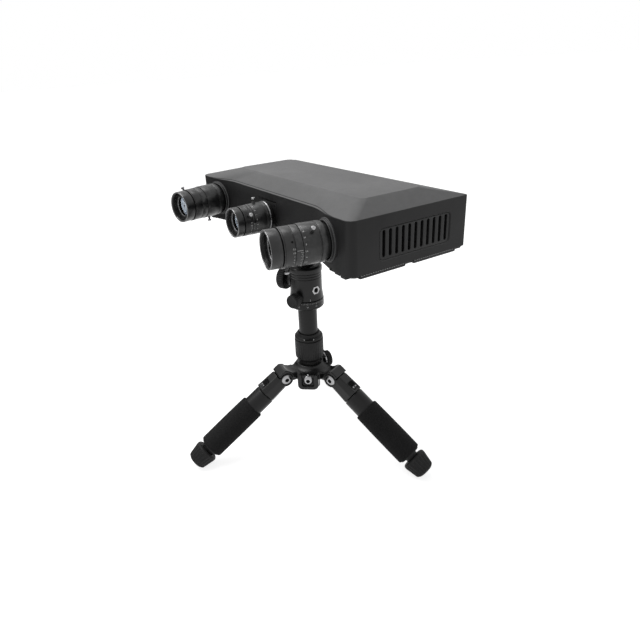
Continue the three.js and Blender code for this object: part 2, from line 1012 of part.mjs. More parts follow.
function frontGlass(lens) {
  const apex = lens.reach - lens.glassDepth;
  const points = [[0, apex - lens.glassThickness], [lens.glassRadius, apex - lens.glassThickness]];
  for (let i = 0; i <= cornerSteps; i += 1) {
    const share = 1 - i / cornerSteps;
    points.push([lens.glassRadius * share, apex - lens.glassCrown * share * share]);
  }
  return alongLens(turned(points, lensSteps));
}

function thumbScrewForm() {
  const { stemRadius, stemLength, headRadius, headLength, bossHeight } = thumbScrew;
  return turned([
    [0, bossHeight + runningGap],
    [stemRadius, bossHeight + runningGap],
    [stemRadius, stemLength],
    [headRadius, stemLength],
    [headRadius, stemLength + headLength],
    [0, stemLength + headLength],
  ], screwSteps);
}

function lensAssembly(name, lens, angles) {
  const at = lensPlan(lens);
  const group = new THREE.Group();
  const rings = [
    ['focus', lens.focusRadius, at.focus, at.focusEnd, lens.focusScrewAt, angles.focus],
    ['iris', lens.irisRadius, at.iris, at.irisEnd, lens.irisScrewAt, angles.iris],
  ];
  group.add(piece(`${name}_lens_barrel`, lensBarrel(lens), anodised));
  group.add(piece(`${name}_front_glass`, frontGlass(lens), glass));
  for (const [ring, radius, from, to, screwAt, angle] of rings) {
    const pose = screwPose(radius, from - screwAt, angle);
    const body = lensRing(lens, radius, from, to, ring === 'focus');
    const boss = rod(thumbScrew.bossRadius, -overrun, thumbScrew.bossHeight, screwSteps);
    group.add(piece(`${name}_${ring}_ring`, joined(body, boss.applyMatrix4(pose)), anodised));
    const screw = piece(`${name}_${ring}_screw`, thumbScrewForm(), steel);
    screw.applyMatrix4(pose);
    group.add(screw);
  }
  return group;
}

function scannerBar() {
  const group = placed(new THREE.Group(), 0, -axisBehindWings, 0);
  group.add(piece('top_cover', topCover(), coverPlastic));
  group.add(piece('base_plate', basePlate(), paintedMetal));
  const grilleX = bar.length / 2 - bar.wall - runningGap - vent.flangeThickness;
  for (const [name, side] of [['right', 1], ['left', -1]]) {
    const grille = piece(`${name}_vent_grille`, onEnd(ventGrille()), coverPlastic);
    placed(grille, side * grilleX, ventMiddle, vent.lift);
    grille.rotation.z = side < 0 ? Math.PI : 0;
    group.add(grille);
    const lens = lensAssembly(`${name}_camera`, cameraLens, screwAngles[name]);
    lens.applyMatrix4(lensPose(side));
    lens.add(piece(`${name}_camera_body`, cameraBody(), paintedMetal));
    group.add(lens);
  }
  const projector = placed(
    lensAssembly('projector', projectorLens, screwAngles.projector),
    0,
    0,
    projectorLens.height,
  );
  projector.add(piece('projector_module', projectorModule(), paintedMetal));
  group.add(projector);
  group.add(piece('control_board', controlBoard(), boardGreen));
  const fanPlace = [fanBack, ventMiddle, vent.lift];
  group.add(placed(piece('fan_frame', fanFrame(), coverPlastic), ...fanPlace));
  group.add(placed(piece('fan_rotor', fanRotor(), coverPlastic), ...fanPlace));
  const rear = placed(piece('rear_panel', rearPanel(), coverPlastic), 0, bar.depth + panel.proud, panel.lift);
  group.add(rear);
  const paddle = piece('power_switch', powerSwitch(), anodised);
  paddle.rotation.x = -rockerTilt;
  group.add(placed(paddle, rockerAt, bar.depth + panel.proud, panel.lift));
  return group;
}

// Levels of the stand below the cover's rim, each taken from the piece above it.
const plateFoot = plateBottom - runningGap - plate.thickness;
const clampTop = plateFoot - runningGap;
const clampBottom = clampTop - clamp.thickness;
const ballFlangeTop = clampBottom - runningGap;
const ballDrop = ball.stemLength - ballFlangeTop;
const headTop = ballDrop - head.mouthRise;
const headBottom = ballDrop + head.floorDepth;
const columnTop = -headBottom - runningGap - panBase.thickness - runningGap;
const collarTop = column.shownLength - columnTop;
const ringTop = collarTop + collar.lipHeight;
const ringBottom = ringTop + collar.ringHeight;
const taperTop = ringBottom + collar.gripHeight;
const collarBottom = taperTop + collar.taperHeight;
const neckTop = ringBottom - hub.neckRise;
const neckFoot = collarBottom + hub.neckGap;
const coreTop = neckFoot + hub.shoulderFall;
const coreBottom = neckFoot + hub.coreFall;
const armTop = neckFoot + hub.armFall;
const lugTop = neckFoot + hub.lugFall;
const lugBottom = lugTop + hub.lugHeight;
const pivotDrop = neckFoot + leg.pivotFall;
const ballKnobDrop = ballDrop + ballKnob.belowBall;
const panKnobDrop = headBottom - panKnob.aboveFoot;
const hubKnobDrop = neckFoot + hubKnob.fall;

function mountingPlate() {
  const [foot, waist, pad] = [plate.width / 2, plate.width / 2 - plate.bevel, plate.padWidth / 2];
  const profile = [
    [-foot, 0],
    [foot, 0],
    [foot, plate.footHeight],
    [waist, plate.footHeight + plate.bevel],
    [waist, plate.padHeight],
    [pad, plate.padHeight],
    [pad, plate.thickness],
    [-pad, plate.thickness],
    [-pad, plate.padHeight],
    [-waist, plate.padHeight],
    [-waist, plate.footHeight + plate.bevel],
    [-foot, plate.footHeight],
  ];
  return onEnd(prism(profile, plate.length)).translate(-plate.length / 2, 0, plateFoot);
}

function clampPlatform() {
  const jaw = (side) => {
    const foot = side * (plate.width / 2 + clamp.jawGap);
    const lip = side * (plate.width / 2 - plate.bevel + clamp.jawGap);
    const outside = side * (plate.width / 2 + clamp.jawWidth);
    const profile = [
      [foot, -clamp.thickness / 2],
      [foot, runningGap + plate.footHeight],
      [lip, runningGap + plate.footHeight + plate.bevel],
      [outside, runningGap + plate.footHeight + plate.bevel],
      [outside, -clamp.thickness / 2],
    ];
    return onEnd(prism(profile, clamp.jawLength)).translate(-clamp.jawLength / 2, 0, clampTop);
  };
  const body = block(clamp.jawLength, plate.width + clamp.jawWidth * 2, clamp.thickness)
    .translate(0, 0, clampTop - clamp.thickness / 2);
  const disc = rod(clamp.radius, clampBottom, clampTop);
  const hole = onEnd(bore(clamp.screwRadius, 0, clamp.screwDepth + overrun, screwSteps))
    .rotateZ(Math.PI / 2)
    .translate(0, plate.width / 2 + clamp.jawWidth - clamp.screwDepth, clampTop - clamp.thickness / 2);
  return cut(joined(body, disc, jaw(1), jaw(-1)), hole);
}

// Knobs are made round Z, which later looks outward: the face at reach, the shaft behind it.
function knob(form) {
  const back = form.reach - form.thickness;
  const grip = fluted([
    [0, back],
    [form.radius - form.edge, back],
    [form.radius, back + form.edge],
    [form.radius, form.reach - form.edge],
    [form.radius - form.edge, form.reach],
    [0, form.reach],
  ], form.ribCount, form.ribDepth);
  return joined(grip, rod(form.shaftRadius, form.shaftEnd, back + form.edge, screwSteps));
}

// Turns geometry made round Z to look along +X.
function outward(geometry) {
  return geometry.rotateY(Math.PI / 2);
}

function knobOn(name, form, drop, material) {
  const group = placed(facing(form.azimuth), 0, 0, -drop);
  group.add(piece(name, outward(knob(form)), material));
  return group;
}

// Places a rod or bore made round Z where a knob stands, below the bar's rim.
function onAzimuth(form, drop, geometry) {
  return outward(geometry)
    .rotateZ(THREE.MathUtils.degToRad(form.azimuth - 90))
    .translate(0, 0, -drop);
}

function ballAndStem() {
  const sphere = new THREE.SphereGeometry(ball.radius, stemSteps, stemSteps / 2)
    .rotateX(Math.PI / 2)
    .translate(0, 0, -ballDrop);
  const stem = turned([
    [0, -ballDrop],
    [ball.stemRadius, -ballDrop],
    [ball.stemRadius, ballFlangeTop - ball.flangeThickness],
    [ball.flangeRadius, ballFlangeTop - ball.flangeThickness],
    [ball.flangeRadius, ballFlangeTop],
    [0, ballFlangeTop],
  ], stemSteps);
  return joined(sphere, stem);
}

function headBody() {
  const groove = (top) => [
    [head.radius, -top - head.grooveWidth],
    [head.radius - head.grooveDepth, -top - head.grooveWidth * grooveFlankShare],
    [head.radius - head.grooveDepth, -top - head.grooveWidth * (1 - grooveFlankShare)],
    [head.radius, -top],
  ];
  const body = turned([
    [0, -headBottom],
    [head.footRadius, -headBottom],
    [head.waistRadius, head.flareHeight - headBottom],
    ...groove(headTop + head.grooveFall + head.groovePitch),
    ...groove(headTop + head.grooveFall),
    [head.radius, -headTop - head.topRound],
    [head.radius - head.topRound, -headTop],
    [0, -headTop],
  ], lensSteps);
  const seats = [[ballKnob, ballKnobDrop], [panKnob, panKnobDrop]];
  const bosses = seats.map(([form, drop]) => onAzimuth(
    form,
    drop,
    rod(form.bossRadius, head.spigotRadius, form.bossReach),
  ));
  const foot = rod(panKnob.reach, -headBottom - head.spigotHeight, -headBottom);
  const cavity = new THREE.SphereGeometry(ball.radius + ball.socketGap, stemSteps, stemSteps / 2)
    .rotateX(Math.PI / 2)
    .translate(0, 0, -ballDrop);
  const mouth = rod(head.mouthRadius, -ballDrop, -headTop + overrun);
  const socket = bore(
    head.spigotRadius,
    -headBottom - overrun,
    -headBottom + head.spigotHeight,
    lensSteps,
  );
  const shafts = seats.map(([form, drop]) => onAzimuth(
    form,
    drop,
    bore(form.shaftRadius, form.shaftEnd - runningGap, form.reach, screwSteps),
  ));
  return cut(joined(body, ...bosses), foot, cavity, mouth, socket, ...shafts);
}

function panBaseForm() {
  const top = -headBottom - runningGap;
  const bottom = top - panBase.thickness;
  const body = turned([
    [0, bottom],
    [panBase.radius - panBase.edge, bottom],
    [panBase.radius, bottom + panBase.edge],
    [panBase.radius, top - panBase.edge / 2],
    [panBase.radius - panBase.edge / 2, top],
    [head.spigotRadius, top],
    [head.spigotRadius, top + head.spigotHeight],
    [0, top + head.spigotHeight],
  ], lensSteps);
  const socket = bore(column.studRadius, bottom - overrun, bottom + column.studLength);
  return cut(body, socket);
}

function centreColumn() {
  const bottom = columnTop - column.length;
  return turned([
    [0, bottom],
    [column.radius - column.endRound, bottom],
    [column.radius, bottom + column.endRound],
    [column.radius, columnTop],
    [column.studRadius, columnTop],
    [column.studRadius, columnTop + column.studLength],
    [0, columnTop + column.studLength],
  ], stemSteps);
}

// Radii of the split neck that the column slides in.
const neckBore = column.radius + runningGap;
const neckOuter = neckBore + hub.neckWall;

function lockCollar() {
  const body = fluted([
    [0, -collarBottom],
    [collar.bottomRadius, -collarBottom],
    [collar.bodyRadius, -taperTop],
    [collar.bodyRadius, -ringBottom - collar.seam],
    [collar.bodyRadius - collar.ribDepth * 3, -ringBottom],
    [0, -ringBottom],
  ], collar.ribCount, collar.ribDepth);
  const ring = turned([
    [0, -ringBottom - collar.seam],
    [collar.bodyRadius - collar.ribDepth * 4, -ringBottom - collar.seam],
    [collar.bodyRadius - collar.ribDepth * 4, -ringBottom],
    [collar.ringRadius, -ringBottom],
    [collar.ringRadius, -ringTop],
    [collar.shoulderRadius, -(ringTop + collarTop) / 2],
    [collar.shoulderRadius - collar.seam, -(ringTop + collarTop) / 2],
    [collar.lipRadius, -collarTop],
    [0, -collarTop],
  ], stemSteps);
  const notch = block(collar.notchDepth * 2, collar.notchWidth, collar.notchHeight)
    .translate(collar.ringRadius, 0, -ringBottom + collar.notchHeight)
    .rotateZ(THREE.MathUtils.degToRad(notchAzimuth - 90));
  return cut(
    joined(body, ring),
    bore(neckOuter, -collarBottom - overrun, -neckTop + runningGap),
    bore(column.radius, -neckTop - overrun, -collarTop + overrun),
    notch,
  );
}

// A place in a leg's upright plane, from distances along the leg and square to it.
const slope = THREE.MathUtils.degToRad(leg.slope);
function fromPivot(along, rise) {
  return [
    leg.pivotRadius + along * Math.cos(slope) + rise * Math.sin(slope),
    -pivotDrop - along * Math.sin(slope) + rise * Math.cos(slope),
  ];
}

// Extrudes a profile of [radius, height] pairs across a leg's plane, centred on it.
function acrossLeg(profile, width) {
  return prism(profile, width).rotateX(Math.PI / 2).translate(0, width / 2, 0);
}

function acrossRod(radius, width) {
  return rod(radius, -width / 2, width / 2).rotateX(Math.PI / 2);
}

function acrossBore(pinRadius, width, steps) {
  return bore(pinRadius, -width / 2, width / 2, steps).rotateX(Math.PI / 2);
}

function hubArm() {
  const arm = acrossLeg([
    [neckBore, -coreTop],
    [hub.coreRadius, -coreBottom + hub.lugRound],
    [leg.pivotRadius - leg.slotEnd, -pivotDrop],
    [leg.pivotRadius, -pivotDrop],
    fromPivot(leg.stopFront, leg.castingTop - leg.stopThickness),
    fromPivot(leg.stopFront, leg.castingTop),
    fromPivot(-leg.stopBack, leg.castingTop),
    [leg.pivotRadius - leg.stopBack, -armTop],
    [hub.coreRadius + hub.lugRound, -(armTop + neckFoot) / 2],
    [neckOuter, -neckFoot],
  ], hub.armWidth);
  const hollow = acrossBore(leg.cheekRadius, hub.armWidth + overrun * 2)
    .translate(leg.pivotRadius, 0, -pivotDrop);
  const tongueRadius = leg.cheekRadius - runningGap;
  const tongue = acrossRod(tongueRadius, leg.tongueWidth)
    .translate(leg.pivotRadius, 0, -pivotDrop);
  const link = block(leg.pivotRadius - neckOuter, leg.tongueWidth, tongueRadius * linkShare)
    .translate((leg.pivotRadius + neckOuter) / 2, 0, -pivotDrop);
  const pinHole = acrossBore(leg.pinRadius, hub.armWidth, screwSteps)
    .translate(leg.pivotRadius, 0, -pivotDrop);
  return cut(joined(cut(arm, hollow), tongue, link), pinHole);
}

function hubLug() {
  const height = hub.lugHeight;
  const reach = hub.lugReach - hub.coreRadius / 2;
  const shape = new THREE.Shape();
  const [half, round] = [hub.lugWidth / 2, hub.lugRound];
  shape.moveTo(-half, height);
  shape.absarc(round - half, round, round, Math.PI, Math.PI * 1.5);
  shape.absarc(half - round, round, round, Math.PI * 1.5, Math.PI * 2);
  shape.lineTo(half, height);
  const lug = new THREE.ExtrudeGeometry(shape, {
    depth: reach,
    bevelEnabled: false,
    curveSegments: cornerSteps,
  });
  const recess = block(hub.lugRecessWidth, height, hub.lugRecessDepth * 2)
    .translate(0, height / 2 + hub.lugRecessRise, reach);
  return onEnd(cut(lug, recess)).translate(hub.coreRadius / 2, 0, -lugBottom);
}

const legAzimuths = [...Array(leg.count).keys()]
  .map((step) => leg.firstAzimuth + (step * 360) / leg.count);

function hubForm() {
  const core = turned([
    [0, -coreBottom],
    [hub.coreRadius - hub.lugRound / 2, -coreBottom],
    [hub.coreRadius, -coreBottom + hub.lugRound / 2],
    [hub.coreRadius, -coreTop],
    [neckOuter, -neckFoot],
    [neckOuter, -neckTop],
    [0, -neckTop],
  ], stemSteps);
  const turnTo = (geometry, azimuth) => geometry
    .rotateZ(THREE.MathUtils.degToRad(azimuth - 90));
  const arms = legAzimuths.map((azimuth) => turnTo(hubArm(), azimuth));
  const lugs = legAzimuths
    .map((azimuth) => azimuth + 180 / leg.count)
    .filter((azimuth) => azimuth !== hubKnob.azimuth)
    .map((azimuth) => turnTo(hubLug(), azimuth));
  const knobBack = hubKnob.reach - hubKnob.thickness;
  const boss = onAzimuth(hubKnob, hubKnobDrop, rod(hubKnob.bossRadius, neckBore, knobBack - runningGap));
  const shaft = onAzimuth(
    hubKnob,
    hubKnobDrop,
    bore(hubKnob.shaftRadius, hubKnob.shaftEnd - runningGap, hubKnob.reach, screwSteps),
  );
  const columnWay = bore(column.radius, -coreBottom - overrun, -neckTop + overrun);
  return cut(joined(core, ...arms, ...lugs, boss), columnWay, shaft);
}

// Leg pieces: X runs along the leg from its pivot, Z square to it and outward.
function legCasting() {
  const [roof, side, floor] = [leg.roofWidth / 2, leg.castingWidth / 2, leg.floorWidth / 2];
  const body = onEnd(prism([
    [-floor, -leg.castingFloor],
    [floor, -leg.castingFloor],
    [side, leg.hipRise],
    [side, leg.shoulderRise],
    [roof, leg.castingTop],
    [-roof, leg.castingTop],
    [-side, leg.shoulderRise],
    [-side, leg.hipRise],
  ], leg.castingEnd - leg.castingNose)).translate(leg.castingNose, 0, 0);
  const cheeks = acrossRod(leg.cheekRadius, leg.castingWidth);
  const cheekLink = block(leg.castingNose + overrun, leg.castingWidth, leg.cheekRadius)
    .translate((leg.castingNose + overrun) / 2, 0, -leg.cheekRadius / 2);
  const slotWidth = leg.tongueWidth + runningGap * 2;
  const slotTop = leg.cheekRadius + runningGap * 3;
  const slotHeight = slotTop + leg.castingFloor + overrun;
  const slot = block(leg.slotEnd + leg.cheekRadius + overrun, slotWidth, slotHeight)
    .translate((leg.slotEnd - leg.cheekRadius - overrun) / 2, 0, slotTop - slotHeight / 2);
  const socket = outward(bore(
    leg.spigotRadius,
    leg.castingEnd - leg.spigotLength,
    leg.castingEnd + overrun,
  ));
  const pinHole = acrossBore(leg.pinRadius, leg.castingWidth + overrun * 2, screwSteps);
  const sinks = [-1, 1].map((end) => acrossBore(
    leg.screwHeadRadius,
    leg.screwHeadSink * 2,
  ).translate(0, end * side, 0));
  const pocketLength = tab.length + tab.travel + runningGap * 2;
  const pocketDepth = tab.sink + runningGap;
  const pocket = block(pocketLength, tab.width + runningGap * 2, pocketDepth + overrun)
    .translate(
      tab.start - runningGap + pocketLength / 2,
      0,
      leg.castingTop + (overrun - pocketDepth) / 2,
    );
  return cut(
    joined(body, cheeks, cheekLink),
    slot,
    socket,
    pinHole,
    pocket,
    ...sinks,
  );
}

function pivotScrew() {
  const seat = leg.castingWidth / 2 - leg.screwHeadSink + runningGap;
  const button = (side) => turned([
    [0, seat],
    [leg.screwHeadRadius, seat],
    [leg.screwHeadRadius, seat + leg.screwHeadHeight / 2],
    [leg.screwHeadRadius * buttonShare, seat + leg.screwHeadHeight],
    [0, seat + leg.screwHeadHeight],
  ], screwSteps + screwSteps / 2).rotateX(side * Math.PI / 2);
  const pin = rod(leg.pinRadius, -seat - overrun, seat + overrun, screwSteps).rotateX(Math.PI / 2);
  return joined(pin, button(1), button(-1));
}

// Stop tab: a catch that slides in a pocket of the casting's roof.
function stopTab() {
  const height = tab.sink + tab.proud;
  return block(tab.length, tab.width, height)
    .translate(tab.start + tab.length / 2, 0, leg.castingTop - tab.sink + height / 2);
}

function legTube() {
  const start = leg.castingEnd + runningGap;
  const neckStart = leg.gripEnd + tubeLead;
  return outward(turned([
    [0, start - leg.spigotLength],
    [leg.spigotRadius, start - leg.spigotLength],
    [leg.spigotRadius, start],
    [leg.tubeRadius, start],
    [leg.tubeRadius, neckStart],
    [leg.neckRadius, neckStart],
    [leg.neckRadius, leg.footStart + leg.neckSeat],
    [0, leg.footStart + leg.neckSeat],
  ], stemSteps));
}

function foamGrip() {
  const gripBore = leg.tubeRadius + runningGap;
  return outward(turnedRing([
    [gripBore, leg.gripStart],
    [leg.gripRadius - leg.gripRound, leg.gripStart],
    [leg.gripRadius, leg.gripStart + leg.gripRound],
    [leg.gripRadius, leg.gripEnd - leg.gripRound],
    [leg.gripRadius - leg.gripRound, leg.gripEnd],
    [gripBore, leg.gripEnd],
  ], stemSteps));
}

function rubberFoot() {
  const shoulder = leg.footEnd - leg.footDome;
  const body = fluted([
    [0, leg.footStart],
    [leg.footRadius - leg.gripRound, leg.footStart],
    [leg.footRadius, leg.footStart + leg.gripRound],
    [leg.footEndRadius, shoulder],
    [leg.footEndRadius * domeShare, leg.footEnd - leg.footDome / 4],
    [0, leg.footEnd],
  ], leg.footRibCount, leg.footRibDepth);
  const socket = bore(
    leg.neckRadius,
    leg.footStart - overrun,
    leg.footStart + leg.neckSeat + runningGap,
  );
  return outward(cut(body, socket));
}

function legAssembly(name, azimuth) {
  const plane = facing(azimuth);
  const pivot = placed(new THREE.Group(), leg.pivotRadius, 0, -pivotDrop);
  pivot.rotation.y = slope;
  pivot.add(piece(`${name}_leg_casting`, legCasting(), paintedMetal));
  pivot.add(piece(`${name}_pivot_screw`, pivotScrew(), steel));
  pivot.add(piece(`${name}_stop_tab`, stopTab(), anodised));
  pivot.add(piece(`${name}_leg_tube`, legTube(), anodised));
  pivot.add(piece(`${name}_foam_grip`, foamGrip(), foam));
  pivot.add(piece(`${name}_rubber_foot`, rubberFoot(), rubber));
  plane.add(pivot);
  return plane;
}

function tripodStand() {
  const group = new THREE.Group();
  group.add(piece('mounting_plate', mountingPlate(), anodised));
  group.add(piece('clamp_platform', clampPlatform(), paintedMetal));
  const clampKnobGroup = placed(facing(clampKnob.azimuth), 0, 0, clampTop - clamp.thickness / 2);
  clampKnobGroup.add(piece('clamp_knob', outward(knob(clampKnob)), anodised));
  group.add(clampKnobGroup);
  group.add(piece('ball', ballAndStem(), anodised));
  group.add(piece('head_body', headBody(), paintedMetal));
  group.add(knobOn('ball_lock_knob', ballKnob, ballKnobDrop, rubber));
  group.add(knobOn('pan_lock_knob', panKnob, panKnobDrop, anodised));
  group.add(piece('pan_base', panBaseForm(), anodised));
  group.add(piece('center_column', centreColumn(), anodised));
  group.add(piece('column_lock_collar', lockCollar(), rubber));
  group.add(piece('hub', hubForm(), paintedMetal));
  group.add(knobOn('hub_knob', hubKnob, hubKnobDrop, rubber));
  ['front', 'right', 'rear'].forEach((name, step) => {
    group.add(legAssembly(name, legAzimuths[step]));
  });
  return group;
}

// The stand and the bar, shifted so that the middle of their box stands on the origin.
const assembly = new THREE.Group();
assembly.add(tripodStand(), scannerBar());
assembly.updateMatrixWorld(true);
const extent = new THREE.Box3().setFromObject(assembly, true);
const middle = extent.getCenter(new THREE.Vector3());
assembly.position.set(-middle.x, -middle.y, -extent.min.z);

const scanner = new THREE.Group();
scanner.add(assembly);
scanner.updateMatrixWorld(true);

export default scanner;
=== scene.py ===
"""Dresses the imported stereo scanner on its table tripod: finishes, fine shapes, studio and camera."""

import json
import math

import bmesh
import bpy
from bpy.props import FloatProperty, FloatVectorProperty, IntProperty, PointerProperty
from mathutils import Matrix, Vector


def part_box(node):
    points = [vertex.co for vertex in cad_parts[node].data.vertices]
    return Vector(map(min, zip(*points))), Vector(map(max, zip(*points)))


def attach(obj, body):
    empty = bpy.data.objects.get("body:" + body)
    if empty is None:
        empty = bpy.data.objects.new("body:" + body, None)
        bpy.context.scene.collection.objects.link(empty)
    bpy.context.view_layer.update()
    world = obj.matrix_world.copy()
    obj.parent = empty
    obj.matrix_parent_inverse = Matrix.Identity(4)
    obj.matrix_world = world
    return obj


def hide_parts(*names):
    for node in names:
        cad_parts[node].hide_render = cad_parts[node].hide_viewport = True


bl_info = {
    "name": "Stereo Scanner on Table Tripod",
    "version": (1, 0, 0),
    "blender": (4, 5, 0),
    "location": "View3D > Sidebar > Scanner",
    "description": "Builds the finished look of a stereo scanner bar on a ball head and tripod",
    "category": "Object",
}

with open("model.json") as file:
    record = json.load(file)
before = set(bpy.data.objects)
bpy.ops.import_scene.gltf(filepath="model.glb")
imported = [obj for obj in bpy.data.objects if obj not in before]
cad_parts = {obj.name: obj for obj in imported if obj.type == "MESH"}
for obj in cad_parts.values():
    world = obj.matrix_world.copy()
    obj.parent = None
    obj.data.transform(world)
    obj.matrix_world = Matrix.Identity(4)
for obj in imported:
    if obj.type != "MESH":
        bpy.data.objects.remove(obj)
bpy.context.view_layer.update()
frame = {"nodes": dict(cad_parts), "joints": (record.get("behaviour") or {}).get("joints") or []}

MM = 0.001
UP = Vector((0, 0, 1))
ALONG_X = Matrix.Rotation(math.pi / 2, 4, "Y")
TO_MM = Matrix.Scale(1 / MM, 4)

# Limits of the drawing, in millimetres, shares and radians.
TINY = 1e-6
MERGE = 1e-4
EASE_SHARE = 0.45
NEARLY_STRAIGHT = math.radians(172)
CREASE = math.radians(34)
COVER_CREASE = math.radians(24)
SHARP = math.radians(26)
BEVEL_FROM = math.radians(30)

# Places read from the frame: joints carry every axis, node boxes the heights.
joints = {joint["name"]: joint for joint in frame["joints"]}
rim_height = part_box("top_cover")[0].z
stand_axis = Vector(joints["head_pan"]["pos_m"])
wing_place = Vector(joints["projector_focus_turn"]["pos_m"])

# Sizes of the bar in millimetres, from the wing plane and the cover's lower rim.
BAR = {
    "length": 335, "depth": 151.4, "side": 55, "crown": 66.5, "wall": 2.5, "corner": 9,
    "rear_corner": 2, "rim": 0.9, "setback": 11, "brow": 1.9, "brow_setback": 2.2,
    "crown_left": 52, "crown_right": 22.5, "crown_front": 31, "crown_back": 39,
    "crown_corner": 8, "crown_ease": 1.8, "crown_drop": 0.8, "foot": 0.5,
}
WING_TIP_SHARE = 0.875
CENTRE_FLAT_SHARE = 0.53
BROW_SHARE = 0.75
BROW_POWER = 2.2
INNER_CORNER = 0.4
VENT = {
    "length": 92, "height": 31, "middle": 81.5, "lift": 25.2, "corner": 4, "setback": 0.9,
    "thickness": 3.4, "count": 11, "pitch": 8.15, "slot_width": 3.6, "slot_height": 27.2,
    "slot_lift": 0.6, "ease": 0.25, "chamfer": 0.9, "cut": 6,
}
REAR = {"length": 118, "height": 34, "lift": 25, "corner": 3, "cut": 12}
HATCH = {
    "cut": (31.6, 35.4, 24), "cut_from": -4, "cut_corner": 0.6, "lift": 27.3, "gap": 0.25,
    "slot": 1.5, "rise": 0.2, "screw_head": (1.1, -0.5, 0.4),
    "engine": (60, 44), "screw": (12.3, 40.1),
    # The line is a black bar along the hatch's slot, a painted shade of the gap.
    "line": (-5.8, 44.5), "shade_bar_size": (42, 1.8, 0.7),
}
STRIP = {"spans": ((12, 68), (80, 137)), "height": 3.4, "width": 9, "inset": 0.3, "lap": 0.4}
SEAM = {"dot": (0.3, 1.7, 0.3), "pitch": 2.9, "inset": 0.35, "drop": 0.55}
STEP = {"size": (8.4, 8), "middle": 5}
STEPS = ((154, 3.8), (144.5, 2.6), (135.5, 1.4))
BEZEL = {
    "bore": 19.1, "inner": 20.7, "outer": 22.3, "inner_face": 0.2, "outer_face": -2.1, "root": -7.2,
    "cut": (-16, 8),
}
CLEARANCE = 0.3

# Lens sizes in millimetres; places count back from the front rim.
CAMERA_LENS = {
    "reach": 60.2, "rim": 19.5, "mouth": 17.6, "throat": 15.2, "glass": 13.2, "tube": 17.2,
    "mouth_depth": 2.4, "throat_depth": 5, "glass_depth": 8, "crown": 2.2,
    "front": 11.3, "groove": 12.3, "groove_depth": 1.3, "screw_boss": 2.1,
    "focus": (12.6, 23.8, 20.1), "band": (24.1, 31.4, 20.2), "iris": (31.7, 50.1, 20.7),
    "rear": (50.4, 56.0, 20.6), "collar": (56.0, 67.9, 18.3),
    "focus_lines": (13.9, 23.2), "iris_lines": (49.2,),
    "focus_screw": 18.6, "iris_screw": 42.7,
}
PROJECTOR_LENS = {
    "reach": 39.2, "rim": 16.95, "mouth": 15.2, "throat": 13, "glass": 11.4, "tube": 14.6,
    "mouth_depth": 2.2, "throat_depth": 4.4, "glass_depth": 7, "crown": 2,
    "front": 8, "groove": 9, "groove_depth": 1.2, "screw_boss": 2.1,
    "focus": (9.3, 18.1, 17.3), "band": (18.4, 21.4, 17.4), "iris": (21.7, 37.2, 17.6),
    "rear": (37.5, 40.5, 17.5), "collar": (40.5, 46.6, 15), "mount_ring": (40.7, 42.4, 18.1),
    "focus_lines": (10.3, 11.2, 12.1, 13, 13.9), "iris_lines": (36.4,),
    "focus_screw": 14.8, "iris_screw": 29.7,
}
LENSES = {"right_camera": CAMERA_LENS, "left_camera": CAMERA_LENS, "projector": PROJECTOR_LENS}
SCREW_ANGLES = {
    "right_camera": {"focus": -82, "iris": 48},
    "left_camera": {"focus": 130, "iris": -88},
    "projector": {"focus": 28, "iris": 92},
}
SCALE_ANGLE = {"right_camera": 2, "left_camera": -140, "projector": -4}
FOCUS_MARKS = ("0.3", "0.5", "1", "2", "5")
IRIS_MARKS = ("C", "16", "11", "8", "5.6", "4", "2.8", "2")
MARK_SIZE = 2.3
FOCUS_STEP = 10.5
IRIS_STEP = 18
SMALL_MARKS = 0.85
SET_SCREW = (1.15, 0, 0.64)
TICK = {"count": 8, "step": 5.5, "line": 0.8, "odd": 0.42, "even": 0.28, "width": 0.22, "rise": 0.06}
INK_HEIGHT = 0.04
THREAD = {"count": 3, "first": 0.35, "pitch": 0.6}
LINE = {"depth": 0.3, "mouth": 0.3, "floor": 0.15}
# Beads of bright steel that paint the highlight lines on each lens rim's edges.
RIM_HIGHLIGHT_BEAD = {"inset": 0.42, "drop": 0.12, "size": 0.2}
LIP = {"inset": 0.7, "rise": 1.4, "size": 0.3}

# Stand sizes in millimetres; drops count down from the cover's rim on the stand's axis.
BALL = {"drop": 54, "radius": 15.5, "stem": 6, "flange": 9.5, "flange_top": 18.9, "flange_thickness": 2.4}
HEAD = {
    "top": 44, "bottom": 88.2, "radius": 20.5, "brim": 21.3, "waist": 20.9, "foot": 21.8, "flare": 7,
    "mouth": 12.9, "grooves": (51.6, 55, 58.4), "groove_width": 1.2, "groove_depth": 0.5, "groove_lip": 0.3,
    "waist_top": 76, "insert_drop": 74.2, "insert_azimuth": 94, "insert_radius": 5.9, "insert_hole": 3.1,
    "mark": (2.6, 0.4, 0.4), "mark_azimuth": 70,
}
PAN_BASE = {"radius": 22.1, "top": 88.5, "bottom": 100.6, "edge": 1.5}
DEGREES = {"step": 5, "numbered": 30, "long": 2.4, "short": 1.4, "drop": 1.8, "text": 2.3, "text_drop": 6.9}
WASHER_THICKNESS = 1.5
COLUMN = {"radius": 12.5, "top": 98.4, "bottom": 224.4}
COLLAR = {
    "top": 139.4, "bottom": 185.4, "bore": 12.8, "lip": 15, "shoulder": 17, "ring": 18.8,
    "ring_top": 144.7, "ring_bottom": 147.6, "body": 19.2, "taper": 175, "tail": 14.6, "tail_top": 179.6,
    "ribs": 36, "rib_depth": 0.55, "notch_azimuth": 58, "window": (9, 2.2, 0.3),
    "mark": (0.7, 2.2, 0.2), "mark_place": 6.3,
}
